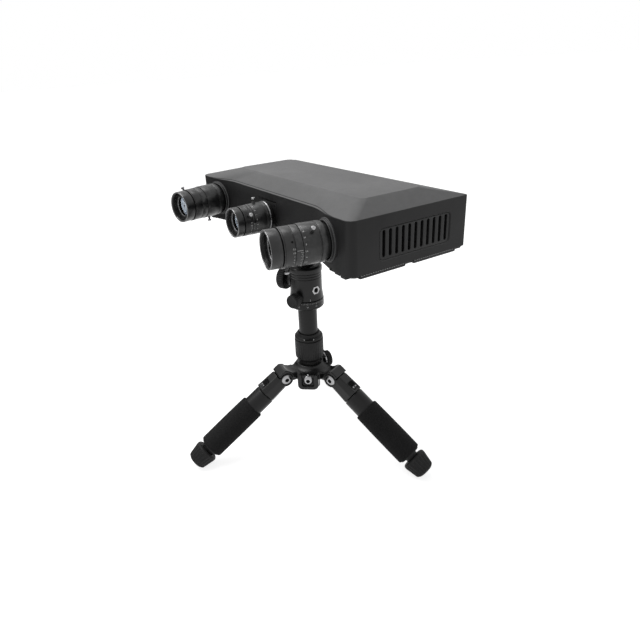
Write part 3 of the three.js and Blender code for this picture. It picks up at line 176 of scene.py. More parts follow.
KNOBS = {
    "ball_lock_knob": {"joint": "ball_lock_turn", "reach": 37.6, "thickness": 11, "radius": 15,
                       "ribs": 30, "rib_depth": 0.9, "shaft": 5, "shaft_end": 17, "boss": 8.6,
                       "boss_from": 14, "boss_reach": 25, "carrier": "head"},
    "pan_lock_knob": {"joint": "pan_lock_turn", "reach": 35, "thickness": 11.2, "radius": 9,
                      "ribs": 24, "rib_depth": 0.25, "shaft": 3.4, "shaft_end": 13, "boss": 7.4,
                      "boss_from": 14, "boss_reach": 23, "carrier": "head"},
    "clamp_knob": {"joint": "clamp_knob_turn", "reach": 35, "thickness": 10, "radius": 8,
                   "ribs": 24, "rib_depth": 0.5, "shaft": 2.6, "shaft_end": 12.4},
    "hub_knob": {"joint": "hub_knob_turn", "reach": 30, "thickness": 8.5, "radius": 10.9, "washer": 10.3,
                 "ribs": 28, "rib_depth": 0.8, "shaft": 2.8, "shaft_end": 14},
}
LEG = {
    "casting_width": 24, "casting_end": 34, "tube": 14, "spigot": 8.8,
    "grip_start": 57.8, "grip_end": 136.2, "grip": 16.9,
    "window": (7, 8), "window_at": 22.6, "catch": (1.8, 5.2),
    "neck": 8.5, "neck_start": 137.4, "foot_start": 141.8, "foot_end": 165.6,
    "foot": 16.1, "foot_tip": 13.2, "foot_ribs": 22, "foot_rib_depth": 1,
    "screw": 7.4, "screw_seat": 10.4, "screw_height": 2.6, "window_rise": 13.9, "socket": (3.1, 11.2, 11.9),
}
LEG_NAMES = ("front", "right", "rear")
CAST = {"voxel": 0.8, "factor": 0.5, "passes": 5}
SWELL = {"start": 13, "full": 25, "side": 1.07, "roof": 1.07, "floor": 1.12}
HUB = {
    "saddle": 12, "saddle_reach": 28.6, "saddle_drop": 178.4,
    "skirt": ((15.9, 192), (15.9, 184.6), (17.2, 184), (19, 184.8), (22, 187.4), (25, 191), (25, 192)),
    "lug_cut": (30, 44, 30),
    "rear_lug_azimuth": 291, "rear_lug_reach": 19, "front_lug_azimuth": 51, "lug_drop": 197.6,
    "lug": (27.4, 24.4), "lug_face": 35.6, "lug_root": 14, "recess": (16, 30), "recess_rise": 7.4,
    "recess_floor": 31.2, "screw": 6.8, "dot": 1.1, "dot_rise": 8.6,
}

# Camera fitted to the photograph, from the wing plane's middle at the cover's rim.
CAMERA_PLACE = Vector((0.5381, -0.2801, 0.1859))
CAMERA_AZIMUTH = math.radians(59.88)
CAMERA_ELEVATION = math.radians(23.96)
CAMERA_ROLL = -0.065
CAMERA_LENS_LENGTH = 29.88
CAMERA_SENSOR = 36
CAMERA_SHIFT = (0.0441, -0.0283)
CAMERA_CLIP = (0.05, 100)
CARD = {"azimuth": -60, "distance": 0.62, "width": 1.2, "height": 0.34}
FLOOR_HALF = 40


# Places of the pieces.
def axes_pose(origin, forward, side):
    """A pose whose Z runs forward and whose X lies towards side."""
    z_axis = Vector(forward).normalized()
    y_axis = z_axis.cross(Vector(side)).normalized()
    x_axis = y_axis.cross(z_axis)
    pose = Matrix((x_axis, y_axis, z_axis)).transposed().to_4x4()
    return Matrix.Translation(Vector(origin)) @ pose


def upright_pose(origin, outward):
    """Looks outward from a place, its Y as far up as it can be."""
    return axes_pose(origin, outward, UP.cross(outward))


def joint_pose(name, side=UP):
    joint = joints[name]
    return axes_pose(joint["pos_m"], joint["axis"], side)


def lens_pose(name):
    joint = joints[f"{name}_focus_turn"]
    return upright_pose(joint["pos_m"], Vector(joint["axis"]).normalized())


def stand_pose():
    return Matrix.Translation((stand_axis.x, stand_axis.y, rim_height))


def bar_pose():
    return Matrix.Translation((wing_place.x, wing_place.y, rim_height))


def heading(azimuth):
    """A level direction, in degrees from the way the bar looks."""
    turn = math.radians(azimuth)
    return Vector((math.sin(turn), -math.cos(turn), 0))


def azimuth_pose(azimuth, drop):
    """Looks outward from the stand's axis, its Y up, at a drop in millimetres."""
    return upright_pose((stand_axis.x, stand_axis.y, rim_height - drop * MM), heading(azimuth))


def on_ring(radius, height, angle, side=UP):
    """A place on a lens ring that faces out."""
    turn = math.radians(angle)
    outward = Vector((math.cos(turn), math.sin(turn), 0))
    return axes_pose(outward * radius + Vector((0, 0, height)), outward, side)


def leg_pose(name):
    """X along the leg, Y along its hinge and Z square to both, outward."""
    fold, stop = joints[f"{name}_leg_fold"], joints[f"{name}_stop_slide"]
    along = Vector(stop["axis"]).normalized()
    hinge = Vector(fold["axis"]).normalized()
    turn = Matrix((along, hinge, along.cross(hinge))).transposed().to_4x4()
    return Matrix.Translation(Vector(fold["pos_m"])) @ turn


def mm_matrix(x=0, y=0, z=0):
    """A shift inside a mesh that is still in millimetres."""
    return Matrix.Translation((x, y, z))


def in_mm(pose):
    """A pose in metres as one for drawings in millimetres."""
    return TO_MM @ pose @ Matrix.Scale(MM, 4)


# Shapes, drawn in millimetres.
def eased(points, radius, steps=3):
    """Turns the corners of an open profile into short curves."""
    made = [Vector(points[0])]
    for before, here, after in zip(points, points[1:], points[2:]):
        here = Vector(here)
        back, ahead = Vector(before) - here, Vector(after) - here
        if min(back.length, ahead.length) < TINY:
            continue
        if back.angle(ahead) > NEARLY_STRAIGHT:
            made.append(here)
            continue
        reach = min(radius, back.length * EASE_SHARE, ahead.length * EASE_SHARE)
        start = here + back.normalized() * reach
        end = here + ahead.normalized() * reach
        for step in range(steps + 1):
            share = step / steps
            made.append(start.lerp(here, share).lerp(here.lerp(end, share), share))
    made.append(Vector(points[-1]))
    return made


def lathe(mesh, profile, steps=64, shape=None, at=Matrix.Identity(4)):
    """Adds a revolve about Z of (radius, height) points, from axis to axis or as a closed ring."""
    rings = []
    for radius, height in profile:
        if radius < MERGE:
            rings.append([mesh.verts.new(at @ Vector((0, 0, height)))])
            continue
        ring = []
        for step in range(steps):
            angle = step / steps * math.tau
            reach = shape(angle, radius, height) if shape else radius
            spot = Vector((reach * math.cos(angle), reach * math.sin(angle), height))
            ring.append(mesh.verts.new(at @ spot))
        rings.append(ring)
    pairs = list(zip(rings, rings[1:]))
    if len(rings[0]) > 1 and len(rings[-1]) > 1:
        pairs.append((rings[-1], rings[0]))
    for low, high in pairs:
        for step in range(steps):
            around = ((low, step), (low, step + 1), (high, step + 1), (high, step))
            corners = tuple(dict.fromkeys(ring[place % len(ring)] for ring, place in around))
            if len(corners) > 2:
                mesh.faces.new(corners)


def disc(radius, low, high):
    """The section of a plain disc."""
    return [(0, low), (radius, low), (radius, high), (0, high)]


def ribs(count, depth, low, high, sharp=1.5):
    """A radius that dips between ribs, for heights between low and high."""
    def shape(angle, radius, height):
        if not low <= height <= high:
            return radius
        wave = (0.5 - 0.5 * math.cos(angle * count)) ** sharp
        return radius - depth * wave
    return shape


def hexagonal(limit, above=0):
    """Draws the rings between two radii as hexagons."""
    def shape(angle, radius, height):
        if not above < radius <= limit:
            return radius
        return radius * math.cos(math.pi / 6) / math.cos(angle % (math.pi / 3) - math.pi / 6)
    return shape


def outline_of(width, height, corner, steps=6):
    """A rounded rectangle, counter-clockwise."""
    points = []
    x, y = width / 2 - corner, height / 2 - corner
    for quarter, (sign_x, sign_y) in enumerate(((1, 1), (-1, 1), (-1, -1), (1, -1))):
        for step in range(steps + 1):
            angle = (quarter + step / steps) * math.pi / 2
            points.append((sign_x * x + corner * math.cos(angle), sign_y * y + corner * math.sin(angle)))
    return points


def soft_block(mesh, width, depth, height, corner=1.0, ease=0.4, at=Matrix.Identity(4)):
    """A block standing on Z zero with rounded uprights and eased top and bottom edges."""
    levels = [(ease, 0), (ease * 0.3, ease * 0.3), (0, ease)]
    levels += [(inset, height - z) for inset, z in reversed(levels)]
    rings = []
    for inset, z in levels:
        ring = outline_of(width - inset * 2, depth - inset * 2, max(corner - inset, 0.05))
        rings.append([mesh.verts.new(at @ Vector((x, y, z))) for x, y in ring])
    skin(mesh, rings)


def skin(mesh, rings):
    """Faces between rings of equal count, closed flat at both ends."""
    for low, high in zip(rings, rings[1:]):
        for step in range(len(low)):
            after = (step + 1) % len(low)
            mesh.faces.new((low[step], low[after], high[after], high[step]))
    mesh.faces.new(list(reversed(rings[0])))
    mesh.faces.new(rings[-1])


def drawn(draw, *args, **options):
    mesh = bmesh.new()
    draw(mesh, *args, **options)
    return mesh


def mesh_data(mesh, name):
    """Stores a drawing as mesh data and frees it."""
    data = bpy.data.meshes.new(name)
    mesh.to_mesh(data)
    mesh.free()
    return data


def placed(name, data):
    """A new object in the scene."""
    made = bpy.data.objects.new(name, data)
    bpy.context.scene.collection.objects.link(made)
    return made


def merge(target, source):
    """Moves one drawing's faces into another."""
    data = mesh_data(source, "merge")
    target.from_mesh(data)
    bpy.data.meshes.remove(data)


def loose_object(mesh, name):
    """A helper object in millimetres for cutting."""
    bmesh.ops.recalc_face_normals(mesh, faces=mesh.faces)
    return placed(name, mesh_data(mesh, name))


def cut_by(target, cutters):
    """Cuts drawings from an object, and gives the helper objects that the cuts use."""
    helpers = [loose_object(cutter, "cutter") for cutter in cutters]
    for helper in helpers:
        cut = target.modifiers.new("cut", "BOOLEAN")
        cut.operation = "DIFFERENCE"
        cut.solver = "EXACT"
        cut.object = helper
    return helpers


def drawing_of(holder, *helpers):
    """What an object's curve or modifiers make, as a drawing. The objects are removed."""
    bpy.context.view_layer.update()
    data = bpy.data.meshes.new_from_object(holder.evaluated_get(bpy.context.evaluated_depsgraph_get()))
    for used in (holder, *helpers):
        bpy.data.objects.remove(used)
    mesh = bmesh.new()
    mesh.from_mesh(data)
    bpy.data.meshes.remove(data)
    return mesh


def carved(solid, cutters):
    """The solid less its cutters."""
    body = loose_object(solid, "carved")
    return drawing_of(body, *cut_by(body, cutters))


def add_flat(mesh, curve, at):
    """Adds what a text or a flat curve fills, at a place."""
    flat = drawing_of(placed("holder", curve))
    bpy.data.curves.remove(curve)
    flat.transform(at)
    merge(mesh, flat)


def add_text(mesh, text, size, at):
    curve = bpy.data.curves.new("text", "FONT")
    curve.body = text
    curve.size = size
    curve.align_x = "CENTER"
    curve.align_y = "CENTER"
    curve.extrude = INK_HEIGHT
    add_flat(mesh, curve, at)


def add_pierced(mesh, outline, holes, thickness, ease, at):
    """A plate with holes and eased edges, centred on its thickness."""
    curve = bpy.data.curves.new("plate", "CURVE")
    curve.dimensions = "2D"
    curve.fill_mode = "BOTH"
    curve.extrude = thickness / 2 - ease
    curve.bevel_depth = ease
    curve.offset = -ease
    for loop in (outline, *holes):
        spline = curve.splines.new("POLY")
        spline.points.add(len(loop) - 1)
        for point, (x, y) in zip(spline.points, loop):
            point.co = (x, y, 0, 1)
        spline.use_cyclic_u = True
    add_flat(mesh, curve, at)


def finish_mesh(mesh, name, crease=CREASE):
    """Turns a drawing in millimetres into smooth-shaded mesh data in metres."""
    bmesh.ops.remove_doubles(mesh, verts=mesh.verts, dist=MERGE)
    bmesh.ops.recalc_face_normals(mesh, faces=mesh.faces)
    bmesh.ops.scale(mesh, vec=(MM, MM, MM), verts=mesh.verts)
    for face in mesh.faces:
        face.smooth = True
    for edge in mesh.edges:
        edge.smooth = len(edge.link_faces) == 2 and edge.calc_face_angle(0) < crease
    return mesh_data(mesh, name)


def piece(name, mesh, material, body, pose=None, stands_for=(), like=None, crease=CREASE, upright=False):
    """Places a finished drawing on its body, in its CAD node's stead where it has one."""
    data = finish_mesh(mesh, name, crease)
    if upright:
        data.transform(pose)
        pose = None
    data.materials.append(material)
    made = placed(name, data)
    if pose is not None:
        made.matrix_world = pose
    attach(made, body)
    if stands_for:
        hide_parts(*stands_for)
    return made


def turned(name, profile, material, body, pose, steps=64, shape=None, **options):
    """A piece that is one revolve."""
    return piece(name, drawn(lathe, profile, steps, shape), material, body, pose, **options)


def dress(node, material, bevel=0.0, segments=2):
    """Gives a CAD node its finish, smooth round faces and, where wanted, eased edges."""
    part = frame["nodes"][node]
    part.data.materials.clear()
    part.data.materials.append(material)
    part.data.shade_smooth()
    part.data.set_sharp_from_angle(angle=SHARP)
    if bevel:
        ease = part.modifiers.new("eased edges", "BEVEL")
        ease.width = bevel * MM
        ease.segments = segments
        ease.limit_method = "ANGLE"
        ease.angle_limit = BEVEL_FROM
        ease.harden_normals = True
        ease.use_clamp_overlap = True


def swell_out(mesh, pose):
    """Fills out a leg's casting past its hinge, in the leg's own axes."""
    back = pose.inverted()
    for vertex in mesh.verts:
        x, y, z = back @ vertex.co
        share = min(max((x - SWELL["start"]) / (SWELL["full"] - SWELL["start"]), 0), 1)
        side = 1 + (SWELL["side"] - 1) * share
        rise = 1 + ((SWELL["roof"] if z > 0 else SWELL["floor"]) - 1) * share
        vertex.co = pose @ Vector((x, y * side, z * rise))


def even_out(target):
    """Remakes an object's skin in faces of one size."""
    remesh = target.modifiers.new("even faces", "REMESH")
    remesh.mode = "VOXEL"
    remesh.voxel_size = CAST["voxel"]


def cast_form(name, node, material, body, cutters=(), additions=(), swell=None):
    """A CAD node's form as a casting: cut and filled in millimetres, then rounded all over."""
    part = frame["nodes"][node]
    mesh = bmesh.new()
    mesh.from_mesh(part.data)
    mesh.transform(TO_MM @ part.matrix_world)
    if swell is not None:
        swell_out(mesh, in_mm(swell))
    for addition in additions:
        merge(mesh, addition)
    rough = loose_object(mesh, name)
    even_out(rough)
    helpers = cut_by(rough, cutters)
    even_out(rough)
    rounding = rough.modifiers.new("rounding", "SMOOTH")
    rounding.factor = CAST["factor"]
    rounding.iterations = CAST["passes"]
    piece(name, drawing_of(rough, *helpers), material, body, None, (node,), crease=math.pi)


# Shader wiring.
class Wiring:
    """Adds nodes to a tree, each with its settings and what feeds it."""

    def __init__(self, tree):
        self.tree = tree

    def add(self, kind, feeds=None, **settings):
        node = self.tree.nodes.new(kind)
        for label, value in settings.items():
            setattr(node, label, value)
        for label, value in (feeds or {}).items():
            socket = node.inputs[label]
            if isinstance(value, bpy.types.NodeSocket):
                self.tree.links.new(value, socket)
            else:
                socket.default_value = value
        return node

    def math(self, operation, first, second=0.0):
        node = self.add("ShaderNodeMath", {0: first, 1: second}, operation=operation)
        return node.outputs[0]

    def remap(self, value, from_low, from_high, to_low, to_high):
        feeds = {"Value": value, "From Min": from_low, "From Max": from_high}
        feeds.update({"To Min": to_low, "To Max": to_high})
        return self.add("ShaderNodeMapRange", feeds, clamp=True).outputs[0]

    def object_point(self):
        return self.add("ShaderNodeTexCoord").outputs["Object"]


def shader_group(name, inputs, outputs, build):
    """A shader node group with named sockets, made once."""
    tree = bpy.data.node_groups.new(name, "ShaderNodeTree")
    for label, value in inputs.items():
        socket = tree.interface.new_socket(label, in_out="INPUT", socket_type="NodeSocketFloat")
        socket.default_value = value
    for label in outputs:
        tree.interface.new_socket(label, in_out="OUTPUT", socket_type="NodeSocketFloat")
    wiring = Wiring(tree)
    given = wiring.add("NodeGroupInput").outputs
    wiring.add("NodeGroupOutput", build(wiring, given))
    return tree


def moulded_grain(wiring, given):
    """Fine random pebbling, as a textured mould or powder paint leaves it."""
    scale = wiring.math("DIVIDE", 1.0, given["Size"])
    point = wiring.object_point()
    cells = wiring.add("ShaderNodeTexVoronoi", {"Vector": point, "Scale": scale}, feature="SMOOTH_F1")
    noise = wiring.add("ShaderNodeTexNoise", {"Vector": point, "Scale": scale, "Detail": 3.0})
    half = wiring.math("MULTIPLY", cells.outputs["Distance"], 0.6)
    height = wiring.math("ADD", half, wiring.math("MULTIPLY", noise.outputs["Fac"], 0.4))
    return {"Height": height, "Speckle": wiring.remap(noise.outputs["Fac"], 0.35, 0.65, 0.0, 1.0)}


def handled_surface(wiring, given):
    """Soft patches where hands and cloths have passed, as a share from 0 to 1."""
    scale = wiring.math("DIVIDE", 1.0, given["Patch"])
    noise = wiring.add(
        "ShaderNodeTexNoise",
        {"Vector": wiring.object_point(), "Scale": scale, "Detail": 4.0, "Roughness": 0.6},
    )
    share = wiring.remap(noise.outputs["Fac"], 0.3, 0.7, 0.0, 1.0)
    low, high = given["Smooth"], given["Rough"]
    span = wiring.math("SUBTRACT", high, low)
    return {"Share": share, "Roughness": wiring.math("ADD", low, wiring.math("MULTIPLY", share, span))}


def settled_dust(wiring, given):
    """Painted sheen: more on what faces up, as overhead light gives it, broken up by fine noise."""
    normal = wiring.add("ShaderNodeTexCoord").outputs["Normal"]
    upward = wiring.add("ShaderNodeSeparateXYZ", {"Vector": normal}).outputs["Z"]
    facing = wiring.remap(upward, given["From"], 1.0, 0.0, 1.0)
    point = wiring.object_point()
    noise = wiring.add("ShaderNodeTexNoise", {"Vector": point, "Scale": 140.0, "Detail": 5.0})
    broken = wiring.remap(noise.outputs["Fac"], 0.25, 0.75, 0.85, 1.0)
    return {"Mask": wiring.math("MULTIPLY", wiring.math("MULTIPLY", facing, broken), given["Amount"])}


def turned_lines(wiring, given):
    """Fine rings that a lathe leaves round a piece's own Z axis."""
    along = wiring.add("ShaderNodeSeparateXYZ", {"Vector": wiring.object_point()}).outputs["Z"]
    turns = wiring.math("DIVIDE", along, given["Pitch"])
    wave = wiring.math("SINE", wiring.math("MULTIPLY", turns, math.tau))
    feeds = {"W": turns, "Scale": 0.37, "Detail": 3.0}
    noise = wiring.add("ShaderNodeTexNoise", feeds, noise_dimensions="1D")
    return {"Height": wiring.math("MULTIPLY", wave, noise.outputs["Fac"]), "Band": noise.outputs["Fac"]}


def worn_edges(wiring, given):
    """A mask on convex edges, broken up, where paint rubs thin, and which also paints a highlight along the
    edges.
    """
    pointiness = wiring.add("ShaderNodeNewGeometry").outputs["Pointiness"]
    edge = wiring.remap(pointiness, given["Start"], given["Full"], 0.0, 1.0)
    point = wiring.object_point()
    noise = wiring.add("ShaderNodeTexNoise", {"Vector": point, "Scale": 260.0, "Detail": 4.0})
    broken = wiring.remap(noise.outputs["Fac"], 0.4, 0.62, 0.0, 1.0)
    return {"Mask": wiring.math("MULTIPLY", edge, broken)}


def foam_cells(wiring, given):
    """Open cells of soft foam, with their darker pits."""
    scale = wiring.math("DIVIDE", 1.0, given["Size"])
    point = wiring.object_point()
    cells = wiring.add("ShaderNodeTexVoronoi", {"Vector": point, "Scale": scale, "Randomness": 1.0})
    noise = wiring.add("ShaderNodeTexNoise", {"Vector": point, "Scale": scale, "Detail": 2.0})
    pits = wiring.math("MULTIPLY", noise.outputs["Fac"], 0.4)
    height = wiring.math("SUBTRACT", cells.outputs["Distance"], pits)
    return {"Height": height, "Shade": wiring.remap(cells.outputs["Distance"], 0.1, 0.7, 0.0, 1.0)}


# Each group's name, its inputs, its outputs and what builds it.
GROUPS = {
    "grain": ("Moulded Grain", {"Size": 0.0006}, ("Height", "Speckle"), moulded_grain),
    "handled": (
        "Handled Surface", {"Patch": 0.05, "Smooth": 0.4, "Rough": 0.5},
        ("Share", "Roughness"), handled_surface,
    ),
    "top_sheen": ("Painted Top Sheen", {"Amount": 1.0, "From": 0.2}, ("Mask",), settled_dust),
    "turned": ("Turned Lines", {"Pitch": 0.0004}, ("Height", "Band"), turned_lines),
    "worn_highlit": ("Worn and Highlit Edges", {"Start": 0.52, "Full": 0.6}, ("Mask",), worn_edges),
    "foam": ("Foam Cells", {"Size": 0.0012}, ("Height", "Shade"), foam_cells),
}
groups = {key: shader_group(*row) for key, row in GROUPS.items()}


class Finish:
    """One material on a Principled shader, with groups feeding it."""

    def __init__(self, name, roughness=0.5, metallic=0.0, specular=0.5):
        self.material = bpy.data.materials.new(name)
        self.material.use_nodes = True
        self.wiring = Wiring(self.material.node_tree)
        self.shader = self.material.node_tree.nodes["Principled BSDF"].inputs
        self.shader["Roughness"].default_value = roughness
        self.shader["Metallic"].default_value = metallic
        self.shader["Specular IOR Level"].default_value = specular

    def group(self, key, **values):
        node = self.wiring.add("ShaderNodeGroup", node_tree=groups[key])
        for label, value in values.items():
            node.inputs[label].default_value = value
        return node.outputs

    def blend(self, mask, first, second):
        """Feeds Base Color with two colours mixed by a mask."""
        mix = self.wiring.add("ShaderNodeMix", data_type="RGBA")
        self.material.node_tree.links.new(mask, mix.inputs["Factor"])
        mix.inputs["A"].default_value = (*first, 1)
        mix.inputs["B"].default_value = (*second, 1)
        self.feed("Base Color", mix.outputs["Result"])

    def feed(self, label, socket):
        self.material.node_tree.links.new(socket, self.shader[label])

    def handled(self, patch, smooth, rough):
        """Feeds Roughness with patches between a smooth and a rough value."""
        patches = self.group("handled", Patch=patch, Smooth=smooth, Rough=rough)
        self.feed("Roughness", patches["Roughness"])

    def bump(self, height, depth):
        node = self.wiring.add("ShaderNodeBump", {"Height": height, "Distance": depth, "Strength": 1.0})
        self.feed("Normal", node.outputs["Normal"])

    def colour(self, colour):
        self.shader["Base Color"].default_value = (*colour, 1)


def moulded_black(settings):
    """Cover plastic: near black, faintly pebbled, with a painted sheen that makes it paler where it faces
    up.
    """
    finish = Finish("moulded black", specular=0.28)
    # Painted sheen of the overhead light on the faces that look up.
    top_sheen = finish.group("top_sheen", Amount=1.0, From=0.12)
    finish.blend(top_sheen["Mask"], settings.colour, settings.top_colour)
    finish.handled(0.07, 0.5, 0.6)
    finish.bump(finish.group("grain", Size=settings.grain)["Height"], settings.grain * 0.12)
    return finish.material


def grip_foam(settings):
    finish = Finish("grip foam", roughness=0.92, specular=0.2)
    cells = finish.group("foam", Size=settings.foam_cell)
    finish.blend(cells["Shade"], (0.004, 0.004, 0.004), (0.014, 0.014, 0.0143))
    finish.bump(cells["Height"], settings.foam_cell * 0.35)
    return finish.material


def coated_glass(settings):
    finish = Finish("coated glass", roughness=0.02)
    finish.colour(settings.glass_tint)
    values = {"Transmission Weight": 1.0, "IOR": 1.75, "Coat Weight": 1.0, "Coat Roughness": 0.03}
    for label, value in values.items():
        finish.shader[label].default_value = value
    return finish.material


# Each row: the shader's values, the group that mixes the two colours with its sizes, the colours, the
# size and range of the handled patches, and the group, sizes and depth of the relief.
# Paler edges: partly wear, partly a painted highlight along the edges.
PAINT_EDGE_WEAR_AND_HIGHLIGHT = ("worn_highlit", "Mask", {"Start": 0.56, "Full": 0.72})
PAINT_COLOURS = ((0.005, 0.005, 0.0052), (0.03, 0.03, 0.031))
PAINT_RELIEF = ("grain", {"Size": 0.0005}, 0.00004)
FINISHES = {
    "satin head paint": (
        {"specular": 0.3}, PAINT_EDGE_WEAR_AND_HIGHLIGHT, PAINT_COLOURS, (0.02, 0.28, 0.36), PAINT_RELIEF),
    "satin casting paint": (
        {"specular": 0.34}, PAINT_EDGE_WEAR_AND_HIGHLIGHT, PAINT_COLOURS, (0.02, 0.28, 0.36), PAINT_RELIEF),
    # Its paler edges are partly wear, partly a painted highlight.
    "anodised black": (
        {"specular": 0.45}, ("worn_highlit", "Mask", {"Start": 0.53, "Full": 0.6}),
        ((0.006, 0.006, 0.0062), (0.14, 0.14, 0.143)),
        (0.012, 0.28, 0.36), ("turned", {"Pitch": 0.00035}, 0.00001)),
    "drawn black tube": (
        {"specular": 0.24}, ("turned", "Band", {"Pitch": 0.0007}),
        ((0.0065, 0.0065, 0.0067), (0.01, 0.01, 0.0103)),
        (0.02, 0.32, 0.4), ("grain", {"Size": 0.0003}, 0.00001)),
    "knob rubber": (
        {"specular": 0.27}, ("grain", "Speckle", {"Size": 0.0005}),
        ((0.007, 0.007, 0.0072), (0.011, 0.011, 0.0112)),
        (0.01, 0.5, 0.62), ("grain", {"Size": 0.0005}, 0.00005)),
    "foot rubber": (
        {"specular": 0.24}, ("grain", "Speckle", {"Size": 0.0009}),
        ((0.008, 0.008, 0.008), (0.013, 0.013, 0.0132)),
        (0.008, 0.55, 0.7), ("grain", {"Size": 0.0009}, 0.00008)),
    "bright steel": (
        {"metallic": 1.0}, ("turned", "Band", {"Pitch": 0.0002}),
        ((0.27, 0.27, 0.275), (0.42, 0.42, 0.425)), (0.004, 0.2, 0.34), None),
    "brushed dark metal": (
        {"metallic": 0.6}, ("turned", "Band", {"Pitch": 0.0003}),
        ((0.05, 0.05, 0.052), (0.09, 0.09, 0.092)), (0.01, 0.36, 0.5), None),
    # Light-trap black for the lenses' inner wells; the same black paints shade into holes, sockets, windows
    # and the hatch's slot.
    "light trap and painted shade black": (
        {"roughness": 0.9, "specular": 0.1}, ("grain", "Speckle", {"Size": 0.0004}),
        ((0.004, 0.004, 0.004), (0.008, 0.008, 0.0082)), None, ("grain", {"Size": 0.0004}, 0.00003)),
    "mirror coating": (
        {"metallic": 1.0}, ("grain", "Speckle", {"Size": 0.006}),
        ((0.5, 0.52, 0.55), (0.75, 0.77, 0.8)), (0.006, 0.06, 0.16), None),
    "scale ink": (
        {"roughness": 0.6, "specular": 0.3}, ("grain", "Speckle", {"Size": 0.0003}),
        ((0.62, 0.62, 0.62), (0.75, 0.75, 0.75)), None, None),
    "solder mask": (
        {"roughness": 0.35}, ("grain", "Speckle", {"Size": 0.002}),
        ((0.008, 0.045, 0.02), (0.012, 0.06, 0.028)), None, None),
    "machined dark alloy": (
        {"roughness": 0.4, "metallic": 0.7}, ("grain", "Speckle", {"Size": 0.001}),
        ((0.02, 0.02, 0.021), (0.03, 0.03, 0.031)), None, None),
    "panel black": (
        {"specular": 0.3}, ("grain", "Speckle", {"Size": 0.0006}),
        ((0.012, 0.012, 0.0125), (0.017, 0.017, 0.0175)),
        (0.03, 0.48, 0.58), ("grain", {"Size": 0.0006}, 0.00005)),
    "switch gloss": (
        {"roughness": 0.18}, ("grain", "Speckle", {"Size": 0.003}),
        ((0.008, 0.008, 0.008), (0.011, 0.011, 0.011)), None, None),
}


def finished(name):
    """A finish that no setting changes, made once."""
    known = bpy.data.materials.get(name)
    if known is not None:
        return known
    look, (key, output, sizes), colours, patches, relief = FINISHES[name]
    finish = Finish(name, **look)
    finish.blend(finish.group(key, **sizes)[output], *colours)
    if patches:
        finish.handled(*patches)
    if relief:
        key, sizes, depth = relief
        finish.bump(finish.group(key, **sizes)["Height"], depth)
    return finish.material


# Settings that a user would change.
class CoverSettings(bpy.types.PropertyGroup):
    colour: FloatVectorProperty(
        name="Cover Colour", description="Plastic of the cover's upright faces",
        subtype="COLOR", size=3, default=(0.0075, 0.0075, 0.0078), min=0, max=1,
    )
    # The upper colour is painted light: the sheen that the faces looking up catch, laid into their colour.
    top_colour: FloatVectorProperty(
        name="Painted Upper Sheen", description="Plastic of the faces that look up",
        subtype="COLOR", size=3, default=(0.078, 0.078, 0.079), min=0, max=1,
    )
    grain: FloatProperty(
        name="Grain", description="Size of the moulded pebbling",
        subtype="DISTANCE", unit="LENGTH", default=0.0006, min=0.0001, max=0.005,
    )


class LensSettings(bpy.types.PropertyGroup):
    steps: IntProperty(
        name="Facets", description="Facets round each lens", default=72, min=24, max=180,
    )
    glass_tint: FloatVectorProperty(
        name="Glass Tint", description="Tint of the front elements",
        subtype="COLOR", size=3, default=(0.8, 0.85, 0.9), min=0, max=1,
    )


class StandSettings(bpy.types.PropertyGroup):
    foam_cell: FloatProperty(
        name="Foam Cell", description="Size of the grips' foam cells",
        subtype="DISTANCE", unit="LENGTH", default=0.0013, min=0.0003, max=0.01,
    )


class StageSettings(bpy.types.PropertyGroup):
    floor_colour: FloatVectorProperty(
        name="Floor Colour", description="Colour of the plain floor",
        subtype="COLOR", size=3, default=(0.55, 0.55, 0.55), min=0, max=1,
    )
    card_colour: FloatVectorProperty(
        name="Card Colour", description="Colour of the card that the black parts reflect",
        subtype="COLOR", size=3, default=(0.01, 0.01, 0.01), min=0, max=1,
    )
    floor_glow: FloatProperty(
        name="Floor Glow", description="How far the floor is lifted to white where the camera sees it",
        default=0.8, min=0, max=2,
    )
    key_power: FloatProperty(
        name="Key Light", description="Power of the large lamp overhead",
        unit="POWER", default=26, min=0, max=500,
    )
    room: FloatProperty(
        name="Room Light", description="Strength of the light from all round", default=0.45, min=0, max=3,
    )


# Builders of the bar.
def bar_outline(height, left, right, front, centre, back, radius, rear, corner_steps=8, face_steps=20):
    """The bar's outline at one height, counter-clockwise from the front left corner."""
    ring = []

    def corner(x, y, radius, start):
        for step in range(corner_steps + 1):
            angle = start + math.pi / 2 * step / corner_steps
            ring.append((x + radius * math.cos(angle), y + radius * math.sin(angle), height))

    def face(side):
        end = left if side < 0 else right
        tip, flat = end * WING_TIP_SHARE, end * CENTRE_FLAT_SHARE
        steps = range(face_steps + 1) if side < 0 else range(face_steps, -1, -1)
        for step in steps:
            share = step / face_steps
            sweep = share * share * (3 - 2 * share)
            ring.append((side * (tip + (flat - tip) * share), front + (centre - front) * sweep, height))

    corner(radius - left, front + radius, radius, math.pi)
    face(-1)
    face(1)
    corner(right - radius, front + radius, radius, math.pi * 1.5)
    corner(right - rear, back - rear, rear, 0)
    corner(rear - left, back - rear, rear, math.pi / 2)
    return ring


def wall_outline(height, inset, setback=0, round_off=0.0):
    half, front = BAR["length"] / 2 - inset - round_off, inset + round_off
    centre, back = BAR["setback"] + setback + inset, BAR["depth"] - inset - round_off
    rear_corner = max(BAR["rear_corner"] - inset, INNER_CORNER)
    return bar_outline(height, half, half, front, centre, back, BAR["corner"] - inset, rear_corner)


def crown_outline(height, extra):
    half, front = BAR["length"] / 2 - extra, BAR["crown_front"] + extra
    left, right, corner = half - BAR["crown_left"], half - BAR["crown_right"], BAR["crown_corner"]
    back = BAR["depth"] - BAR["crown_back"] - extra
    return bar_outline(height, left, right, front, front, back, corner, corner)


def shares(count):
    """Even shares of one, without the zero."""
    return [step / count for step in range(1, count + 1)]


def between(first, second, share):
    return [Vector(a).lerp(Vector(b), share) for a, b in zip(first, second)]


